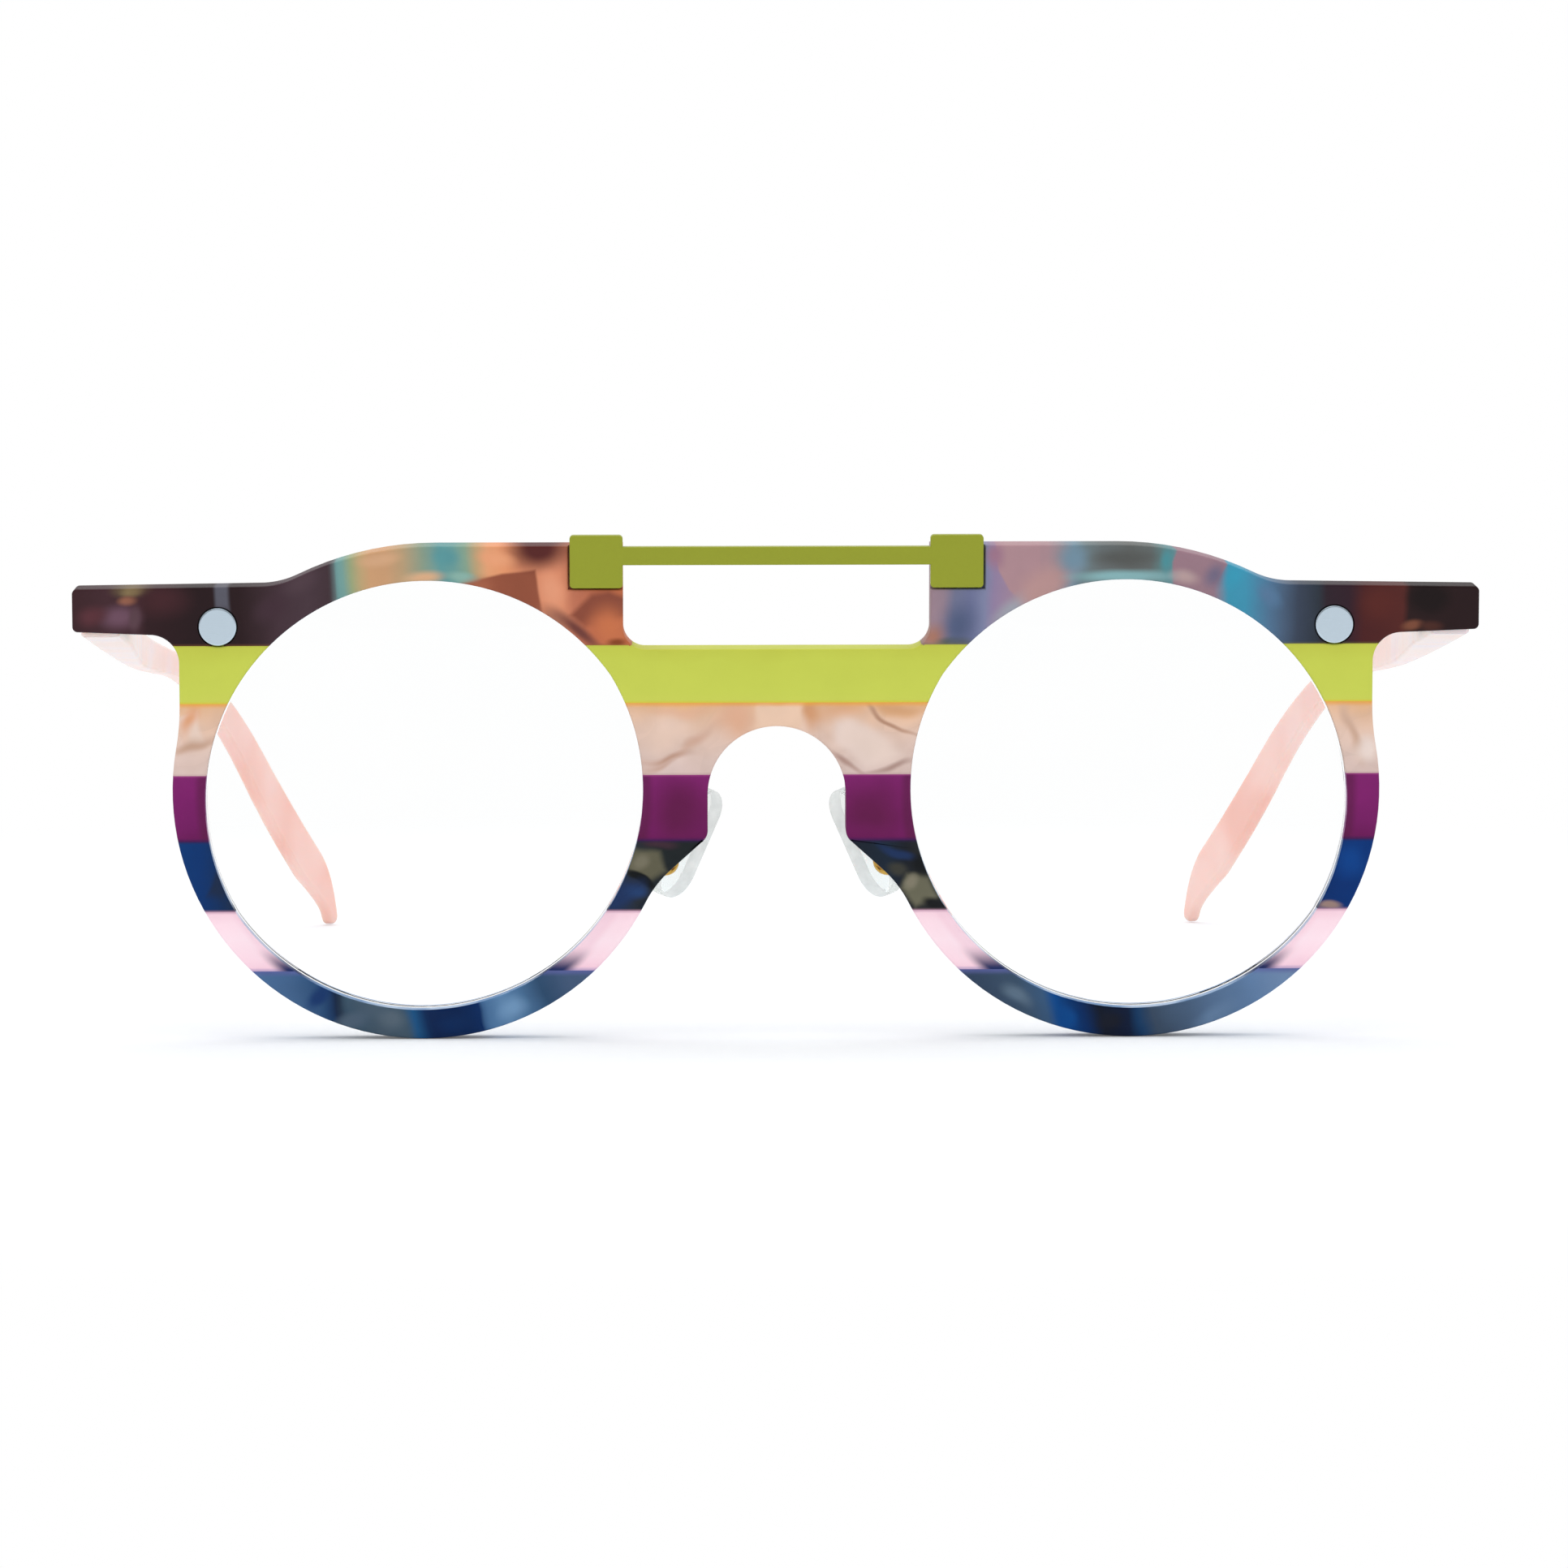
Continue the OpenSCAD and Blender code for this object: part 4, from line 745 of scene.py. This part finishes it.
def worked_metal(name, code, rough, grain, marks, depth, coat=None):
    """A worked metal: the lay of its tool marks in mm, and how far they vary its tone and gloss.

    Where the metal is coated, the eye sees only the coat, which takes the metal's place.
    """
    made, tree = new_material(name)
    point = millimetres(tree)
    laid = add(tree, "Mapping", {"Vector": point, "Scale": grain}, vector_type="TEXTURE").outputs[0]
    lines = add(tree, "TexNoise", {"Vector": laid, "Scale": 1.0, "Detail": 4.0}).outputs["Fac"]
    worn = add(
        tree, "MapRange", {"Value": lines, "To Min": 1 - marks, "To Max": 1 + marks}
    ).outputs[0]
    colour = add(
        tree, "VectorMath", {0: linear(code)[:3], "Scale": worn}, operation="SCALE"
    ).outputs[0]
    sheen, relief = skin(tree, lines, rough * 0.75, rough * 1.25, 0.2, depth)
    body = add(
        tree,
        "BsdfPrincipled",
        {"Base Color": colour, "Roughness": sheen, "Normal": relief} | (coat or {"Metallic": 1.0}),
    )
    add(tree, "OutputMaterial", {0: body.outputs[0]})
    return made


# Olive enamel sprayed on sheet steel: a satin skin with a faint orange peel of about 0.4 mm.
olive_enamel = worked_metal(
    "olive_enamel", "#979e2b", 0.36, (0.4, 0.4, 0.4), 0.03, 0.01,
    {"Metallic": 0.0, "IOR": 1.52, "Specular IOR Level": 0.2},
)

# Stainless steel, linished: real grit lines are 0.02 mm apart and drawn at 0.09 mm to show.
brushed_steel = worked_metal(
    "brushed_stainless_steel", "#c6d6e2", 0.3, (2.0, 2.0, 0.09), 0.05, 0.004
)

# Hinge steel, milled then tumbled: broader soft marks, about 0.15 mm.
milled_steel = worked_metal("milled_hinge_steel", "#b4b8bc", 0.26, (0.15, 0.9, 0.9), 0.05, 0.005)

# Drawn spring wire in the temples: bright, with die lines along it.
drawn_wire = worked_metal("drawn_core_steel", "#8d8b8c", 0.34, (0.1, 3.0, 0.1), 0.06, 0.004)

# Gilt wire for the pad arms: thin gold plate over drawn nickel silver, smooth and warm.
gilt_wire = worked_metal("gilt_pad_wire", "#c9a24f", 0.2, (0.2, 0.2, 0.2), 0.04, 0.003)


def moulded_silicone(name, code, rough, through):
    """Nose pads: clear silicone from a polished mould, so most light goes straight through it.

    The thin plate is nearly clear; its edge, seen through its depth, gets a painted pale grey shade.
    """
    made, tree = new_material(name)
    point = millimetres(tree)
    # Flow in the mould leaves soft swells of about 1.5 mm.
    flow = add(tree, "TexNoise", {"Vector": point, "Scale": 0.7, "Detail": 2.0}).outputs["Fac"]
    tone = add(tree, "Mix", {0: flow, 6: code, 7: "#f4f6f5"}, data_type="RGBA").outputs[2]
    gloss, relief = skin(tree, flow, rough * 0.7, rough * 1.3, 0.1, 0.02)
    body = add(
        tree,
        "BsdfPrincipled",
        {
            "IOR": 1.41,
            "Transmission Weight": 0.6,
            "Base Color": tone,
            "Roughness": gloss,
            "Normal": relief,
        },
    )
    clear = add(tree, "BsdfTransparent", {"Color": "#f6f8f7"})
    shadow = add(tree, "LightPath").outputs["Is Shadow Ray"]
    share = add(tree, "Math", {0: shadow, 1: through}, operation="MAXIMUM").outputs[0]
    whole = add(tree, "MixShader", {0: share, 1: body.outputs[0], 2: clear.outputs[0]})
    add(tree, "OutputMaterial", {0: whole.outputs[0]})
    return made


def cast_lens():
    """Demonstration lens: cast acrylic, polished on a slow curve, with a coat against reflections.

    The coat takes most of the glint away, so the eye sees straight through it.
    """
    made, tree = new_material("cast_acrylic_lens")
    point = millimetres(tree)
    # Wiping leaves a faint film, in patches of about 12 mm.
    film = add(tree, "TexNoise", {"Vector": point, "Scale": 0.08, "Detail": 2.0}).outputs["Fac"]
    polish = add(tree, "MapRange", {"Value": film, "To Min": 0.0, "To Max": 0.02}).outputs[0]
    tone = add(tree, "Mix", {0: film, 6: "#fdfefe", 7: WHITE}, data_type="RGBA").outputs[2]
    body = add(
        tree,
        "BsdfPrincipled",
        {
            "IOR": 1.49,
            "Specular Tint": (0.12, 0.12, 0.12, 1.0),
            "Transmission Weight": 1.0,
            "Base Color": tone,
            "Roughness": polish,
        },
    )
    clear = add(tree, "BsdfTransparent", {"Color": "#fdfefe"})
    shadow = add(tree, "LightPath").outputs["Is Shadow Ray"]
    whole = add(tree, "MixShader", {0: shadow, 1: body.outputs[0], 2: clear.outputs[0]})
    add(tree, "OutputMaterial", {0: whole.outputs[0]})
    return made


milky_pink = milky_acetate()
pad_faces = moulded_silicone("clear_silicone_face", "#eef1f0", 0.12, 0.92)
# The pad's edge faces: a greyer, less clear copy, which is painted shade.
pad_edge_shade = moulded_silicone("clear_silicone_edge_shade", "#a3a8a8", 0.4, 0.34)
lens_acrylic = cast_lens()


# Pieces

def take_over(node, name, mesh, place, material):
    """Puts a finished mesh in the place of a CAD node, riding on the same body."""
    data = bpy.data.meshes.new(name)
    mesh.to_mesh(data)
    mesh.free()
    data.materials.append(material)
    piece = bpy.data.objects.new(name, data)
    bpy.context.scene.collection.objects.link(piece)
    piece.matrix_world = place
    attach(piece, frame["nodes"][node]["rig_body"])
    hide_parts(node)
    return piece


def cad_mesh(node, place, flat, cuts=()):
    """A CAD node's mesh in the given frame, welded, with faces flat within some degrees made whole.

    The sheet's own front and back faces are made whole first, so that curved walls keep their steps.
    A face with holes stays cut through the middle of each hole, at the given places across.
    """
    mesh = bmesh.new()
    mesh.from_mesh(frame["nodes"][node].data)
    mesh.transform(place.inverted())
    bmesh.ops.remove_doubles(mesh, verts=mesh.verts, dist=WELD * MM)
    for cut in cuts:
        bmesh.ops.bisect_plane(
            mesh,
            geom=mesh.verts[:] + mesh.edges[:] + mesh.faces[:],
            dist=1e-7,
            plane_co=(cut, 0, 0),
            plane_no=(1, 0, 0),
        )
    on_faces = [
        edge
        for edge in mesh.edges
        if len(edge.link_faces) == 2
        and all(abs(face.normal.y) > 0.9999 for face in edge.link_faces)
    ]
    kept = {
        edge
        for edge in on_faces
        if any(all(abs(vert.co.x - cut) < 1e-6 for vert in edge.verts) for cut in cuts)
    }
    bmesh.ops.dissolve_limit(
        mesh,
        angle_limit=math.radians(FLAT),
        verts=[],
        edges=[edge for edge in on_faces if edge not in kept],
    )
    bmesh.ops.dissolve_limit(
        mesh,
        angle_limit=math.radians(flat),
        verts=mesh.verts,
        edges=[edge for edge in mesh.edges if edge not in kept],
    )
    return mesh


def ease_edges(mesh, edges, width, rounds):
    """Rounds the given edges, and marks what is still sharp for the shading."""
    if edges:
        bmesh.ops.bevel(
            mesh,
            geom=edges,
            offset=width * MM,
            offset_type="OFFSET",
            segments=rounds,
            profile=0.5,
            affect="EDGES",
            clamp_overlap=False,
        )
    for face in mesh.faces:
        face.smooth = True
    for edge in mesh.edges:
        sharp = len(edge.link_faces) != 2 or edge.calc_face_angle(0) > math.radians(SHARP)
        edge.smooth = not sharp


def keep_faces_flat(piece):
    """Shades the big faces flat and lets only the eased edges turn."""
    flat = piece.modifiers.new("flat_faces", "WEIGHTED_NORMAL")
    flat.keep_sharp = True
    flat.weight = 100


def is_glue_face(face):
    """A level face at a joint between two strips, which stays sharp so that the strips meet."""
    if abs(face.normal.z) < 0.999:
        return False
    height = face.calc_center_median().z / MM
    return any(abs(height - level) < 0.02 for level in GLUE_HEIGHTS)


def middle_of(node):
    """The middle of a screw or rivet in the upright frame, which is where its hole is."""
    places = [upright.inverted() @ vert.co for vert in frame["nodes"][node].data.vertices]
    return [(min(row) + max(row)) / 2 for row in zip(*places)]


def is_hole_edge(edge, hole):
    """Whether an edge belongs to a drilled hole: both its ends are near the hole's middle."""
    ways = [math.hypot(vert.co.x - hole[0], vert.co.z - hole[2]) for vert in edge.verts]
    return max(ways) < HOLE_REACH * MM


def strip_of_acetate(node, material, slot, fitted=()):
    """One glued strip: the rims' front and back edges are eased, as tumbling leaves them.

    The holes for fitted screws and rivets were drilled after that, so their edges stay sharp.
    """
    holes = [middle_of(part) for part in fitted]
    mesh = cad_mesh(node, upright, 0.03, [hole[0] for hole in holes])
    picked = []
    for edge in mesh.edges:
        if len(edge.link_faces) != 2:
            continue
        faces = [face for face in edge.link_faces if abs(face.normal.y) > 0.98]
        walls = [face for face in edge.link_faces if abs(face.normal.y) < 0.2]
        if len(faces) != 1 or len(walls) != 1 or is_glue_face(walls[0]):
            continue
        if any(is_hole_edge(edge, hole) for hole in holes):
            continue
        depth = faces[0].calc_center_median().y / MM
        if min(abs(depth), abs(depth - SHEET_THICK)) < 0.05:
            picked.append(edge)
    ease_edges(mesh, picked, TUMBLED_EDGE, 3)
    keep_faces_flat(take_over(node, node + "_sheet", mesh, upright, material))


SHEETS = {
    "lime": (lime, "lime_acetate"),
    "marble": (marble, "marble_acetate"),
    "plum": (plum, "plum_acetate"),
    "navy": (navy, "navy_acetate"),
    "blush": (blush, "blush_acetate"),
    "slate": (slate, "slate_acetate"),
}
for node in sorted(frame["nodes"]):
    layer = node.split("_")[0]
    if layer in SHEETS:
        strip_of_acetate(node, *SHEETS[layer])

BROWS = {
    "left": (warm_tortoise, "tortoise_acetate_warm"),
    "right": (cool_tortoise, "tortoise_acetate_cool"),
}
for side, finish in BROWS.items():
    strip_of_acetate("brow_" + side, *finish, ("bar_screw_" + side, "front_rivet_" + side))


def eased_part(node, material, width, rounds=2, place=Matrix.Identity(4), flat=FLAT):
    """A fitted part with every sharp outer edge eased by the given width in mm."""
    mesh = cad_mesh(node, place, flat)
    picked = [
        edge
        for edge in mesh.edges
        if len(edge.link_faces) == 2
        and edge.calc_face_angle(0) > math.radians(35)
        and edge.calc_face_angle_signed(0) > 0
    ]
    ease_edges(mesh, picked, width, rounds)
    piece = take_over(node, node + "_finished", mesh, place, material)
    # A lens is curved all over and asks for less than 0.1 degree, so it has no flat faces.
    if flat > 0.1:
        keep_faces_flat(piece)


eased_part("top_bar", olive_enamel, 0.12, 3, upright)

for side in ("left", "right"):
    eased_part("front_rivet_" + side, brushed_steel, 0.17, 3, upright)
    eased_part("bar_screw_" + side, milled_steel, 0.05, place=upright)
    eased_part("front_hinge_" + side, milled_steel, 0.08, place=upright)
    eased_part("hinge_screw_" + side, milled_steel, 0.05)
    eased_part("temple_hinge_" + side, milled_steel, 0.08)
    eased_part("temple_rivet_fore_" + side, brushed_steel, 0.06)
    eased_part("temple_rivet_aft_" + side, brushed_steel, 0.06)
    eased_part("core_wire_" + side, drawn_wire, 0.05, 1)
    eased_part("pad_arm_" + side, gilt_wire, 0.04, 1)
    eased_part("pad_screw_" + side, gilt_wire, 0.05)
    eased_part("lens_" + side, lens_acrylic, 0.05, 1, upright, 0.03)


def long_outline(mesh, way):
    """The outline of a temple's broad face that looks along way, from butt corner to butt corner."""
    rim = {}
    for edge in mesh.edges:
        turns = sorted(abs(face.normal.x) for face in edge.link_faces)
        if len(turns) != 2 or turns[0] > 0.3 or turns[1] < 0.8:
            continue
        if max(edge.link_faces, key=lambda face: abs(face.normal.x)).normal.x * way < 0:
            continue
        for vert in edge.verts:
            rim.setdefault(vert, []).append(edge.other_vert(vert))
    butt = min(vert.co.y for vert in rim)
    corners = [vert for vert in rim if vert.co.y < butt + 0.01 * MM]
    here = max(corners, key=lambda vert: vert.co.z)
    seen = set(corners) - {here}
    last = min(corners, key=lambda vert: vert.co.z)
    line = [here]
    while True:
        seen.add(here)
        following = [vert for vert in rim[here] if vert not in seen]
        if not following:
            break
        here = following[0]
        line.append(here)
    return [vert.co.copy() for vert in line + [last]]


def even_line(points, step):
    """The same line with its points evenly apart, and its small corners taken off."""
    length = [0.0]
    for one, two in zip(points, points[1:]):
        length.append(length[-1] + math.dist(one, two))
    count = round(length[-1] / step)
    made = []
    part = 0
    for index in range(count + 1):
        reach = length[-1] * index / count
        while part < len(points) - 2 and length[part + 1] < reach:
            part += 1
        share = (reach - length[part]) / max(length[part + 1] - length[part], 1e-9)
        made.append([a + (b - a) * share for a, b in zip(points[part], points[part + 1])])
    for _ in range(3):
        inside = zip(made, made[1:], made[2:])
        eased = [[(a + 2 * b + c) / 4 for a, b, c in zip(*three)] for three in inside]
        made = [made[0]] + eased + [made[-1]]
    return made


def read_off(table, place):
    """A value between the entries of a table of (place, value), in order."""
    for (before, low), (after, high) in zip(table, table[1:]):
        if place <= after:
            return low + (high - low) * (place - before) / (after - before)
    return table[-1][1]


def temple(side):
    """A temple, swept afresh along its CAD outline, with its long edges rounded by buffing."""
    node = "temple_" + side
    source = cad_mesh(node, upright, 0.02)
    way = -1 if side == "left" else 1
    outlines = [long_outline(source, way), long_outline(source, -way)]
    source.free()
    # How far out each broad face lies, along the temple.
    plans = [sorted({round(co.y, 5): co.x for co in line}.items()) for line in outlines]
    line = even_line([(co.y, co.z) for co in outlines[0]], OUTLINE_STEP * MM)
    # Across, 0 is the outer face and 1 the inner one, until the plans give their real places.
    mesh = bmesh.new()
    outer = [mesh.verts.new((0, y, z)) for y, z in line]
    inner = [mesh.verts.new((1, y, z)) for y, z in line]
    mesh.faces.new(outer)
    mesh.faces.new(inner[::-1])
    for index in range(len(line)):
        after = (index + 1) % len(line)
        mesh.faces.new((outer[index], inner[index], inner[after], outer[after]))
    # Cuts across let the broad faces follow the inward curve.
    low = min(y for y, z in line)
    high = max(y for y, z in line)
    for cut in range(1, int((high - low) / (CURVE_STEP * MM)) + 1):
        bmesh.ops.bisect_plane(
            mesh,
            geom=mesh.verts[:] + mesh.edges[:] + mesh.faces[:],
            dist=1e-6,
            plane_co=(0, low + cut * CURVE_STEP * MM, 0),
            plane_no=(0, 1, 0),
        )
    bmesh.ops.remove_doubles(mesh, verts=mesh.verts, dist=0.1 * MM)
    for vert in mesh.verts:
        sides = [read_off(plan, vert.co.y) for plan in plans]
        vert.co.x = sides[0] + (sides[1] - sides[0]) * vert.co.x
    bmesh.ops.recalc_face_normals(mesh, faces=mesh.faces)
    picked = [edge for edge in mesh.edges if edge.calc_face_angle(0) > math.radians(60)]
    ease_edges(mesh, picked, BUFFED_EDGE, 4)
    mesh.transform(upright)
    piece = take_over(
        node, node + "_acetate", mesh, Matrix.Identity(4), milky_pink
    )
    keep_faces_flat(piece)


def nose_pad(side):
    """A clear pad: a plate whose edge is painted a grey shade, and whose lug stays crisp."""
    node = "nose_pad_" + side
    mesh = cad_mesh(node, Matrix.Identity(4), 0.1)
    broad = sorted(mesh.faces, key=lambda face: -face.calc_area())[:2]
    out = broad[0].normal.copy()
    levels = sorted(out.dot(face.calc_center_median()) for face in broad)
    picked = [
        edge
        for face in broad
        for edge in face.edges
        if edge.calc_face_angle_signed(0) > math.radians(40)
    ]
    ease_edges(mesh, picked, MOULDED_EDGE, 4)
    # The plate's edge faces take the second material, the painted grey shade.
    for face in mesh.faces:
        level = out.dot(face.calc_center_median())
        in_plate = levels[0] - 0.01 * MM < level < levels[1] + 0.01 * MM
        face.material_index = int(in_plate and abs(out.dot(face.normal)) < 0.8)
    piece = take_over(
        node, node + "_silicone", mesh, Matrix.Identity(4), pad_faces
    )
    piece.data.materials.append(pad_edge_shade)
    keep_faces_flat(piece)


for side in ("left", "right"):
    temple(side)
    nose_pad(side)


# Studio

def seen_straight(tree, rays):
    """One where the camera sees a surface itself or through a clear piece, and else zero."""
    return add(
        tree,
        "Math",
        {0: rays.outputs["Is Camera Ray"], 1: rays.outputs["Is Transmission Ray"]},
        operation="MAXIMUM",
    ).outputs[0]


def light_tent():
    """A white tent: level light from all sides, a little stronger from above."""
    world = bpy.data.worlds.new("white_light_tent")
    world.use_nodes = True
    tree = world.node_tree
    tree.nodes.clear()
    way = add(tree, "TexCoord").outputs["Generated"]
    split = add(tree, "SeparateXYZ", {0: way})
    upward = add(
        tree,
        "MapRange",
        {"Value": split.outputs[2], "From Min": -1.0, "To Min": 0.72, "To Max": 0.98},
    ).outputs[0]
    lit = add(tree, "Background", {"Color": WHITE, "Strength": upward}).outputs[0]
    # The tent's near side, behind the camera, is unlit cloth, so polished faces stay deep.
    near = add(
        tree,
        "MapRange",
        {"Value": split.outputs[1], "From Min": -1.0, "From Max": 0.1, "To Min": 0.2},
        interpolation_type="SMOOTHSTEP",
    ).outputs[0]
    mirrored = add(tree, "Background", {"Color": WHITE, "Strength": near}).outputs[0]
    plain = add(tree, "Background", {"Color": WHITE, "Strength": 1.0}).outputs[0]
    # Glossy faces mirror the unlit side, others get only the light, and the camera sees white.
    rays = add(tree, "LightPath")
    felt = add(
        tree, "MixShader", {0: rays.outputs["Is Glossy Ray"], 1: lit, 2: mirrored}
    ).outputs[0]
    whole = add(tree, "MixShader", {0: seen_straight(tree, rays), 1: felt, 2: plain})
    add(tree, "OutputWorld", {0: whole.outputs[0]})
    bpy.context.scene.world = world


def white_card():
    """White card: fine fibres, a shadow near the glasses, and plain white further out."""
    made, tree = new_material("white_card")
    point = millimetres(tree)
    # The fibres are clumped in patches of about 2 mm.
    fibre = add(tree, "TexNoise", {"Vector": point, "Scale": 0.5, "Detail": 2.0}).outputs["Fac"]
    card = add(tree, "Mix", {0: fibre, 6: "#eef1f5", 7: "#f1f4f7"}, data_type="RGBA").outputs[2]
    lit = add(tree, "BsdfDiffuse", {"Color": card}).outputs[0]
    rays = add(tree, "LightPath")
    shown = add(
        tree,
        "Math",
        {0: seen_straight(tree, rays), 1: rays.outputs["Is Glossy Ray"]},
        operation="MAXIMUM",
    ).outputs[0]
    strength = add(tree, "Math", {0: shown, 1: 0.1}, operation="MULTIPLY").outputs[0]
    glow = add(tree, "Emission", {"Color": WHITE, "Strength": strength}).outputs[0]
    near = add(tree, "AddShader", {0: lit, 1: glow}).outputs[0]
    far = add(tree, "Emission", {"Color": WHITE, "Strength": 1.0}).outputs[0]
    away = add(tree, "VectorMath", {0: point}, operation="LENGTH").outputs[1]
    fading = add(
        tree,
        "MapRange",
        {"Value": away, "From Min": SHADOW_REACH, "From Max": PLAIN_FLOOR},
        interpolation_type="SMOOTHSTEP",
    ).outputs[0]
    share = add(tree, "Math", {0: fading, 1: shown}, operation="MULTIPLY").outputs[0]
    whole = add(tree, "MixShader", {0: share, 1: near, 2: far})
    add(tree, "OutputMaterial", {0: whole.outputs[0]})
    return made


def card_floor():
    """A flat sheet of card 6 m wide, just under the rims."""
    mesh = bmesh.new()
    corners = [mesh.verts.new((x, y, -0.02 * MM)) for x, y in ((-3, -3), (3, -3), (3, 3), (-3, 3))]
    mesh.faces.new(corners)
    data = bpy.data.meshes.new("white_floor")
    mesh.to_mesh(data)
    mesh.free()
    data.materials.append(white_card())
    sheet = bpy.data.objects.new("white_floor", data)
    bpy.context.scene.collection.objects.link(sheet)


def overhead_soft_box():
    """A soft lamp 0.9 m over the glasses, a little left of them, turned to their middle."""
    lamp = bpy.data.lights.new("overhead_soft_box", "AREA")
    lamp.shape = "RECTANGLE"
    lamp.size = 0.9
    lamp.size_y = 0.7
    lamp.energy = 2.2
    holder = bpy.data.objects.new("overhead_soft_box", lamp)
    holder.location = (-0.03, 0.0, 0.9)
    way = Vector((0, 0, 0)) - holder.location
    holder.rotation_euler = way.to_track_quat("-Z", "Y").to_euler()
    bpy.context.scene.collection.objects.link(holder)


def photo_camera():
    """The camera, where the photo was taken from, with a long lens that frames it the same."""
    lens = bpy.data.cameras.new("photo_camera")
    lens.sensor_width = 36.0
    lens.lens = 154.3
    camera = bpy.data.objects.new("photo_camera", lens)
    camera.matrix_world = (
        Matrix.Translation(CAMERA_PLACE)
        @ Matrix.Rotation(math.radians(-CAMERA_RIGHT), 4, "Z")
        @ Matrix.Rotation(math.radians(90 - CAMERA_DOWN), 4, "X")
        @ Matrix.Rotation(math.radians(-CAMERA_TIPPED), 4, "Z")
    )
    bpy.context.scene.collection.objects.link(camera)
    bpy.context.scene.camera = camera


light_tent()
card_floor()
overhead_soft_box()
photo_camera()
bpy.context.scene.view_settings.view_transform = "Standard"
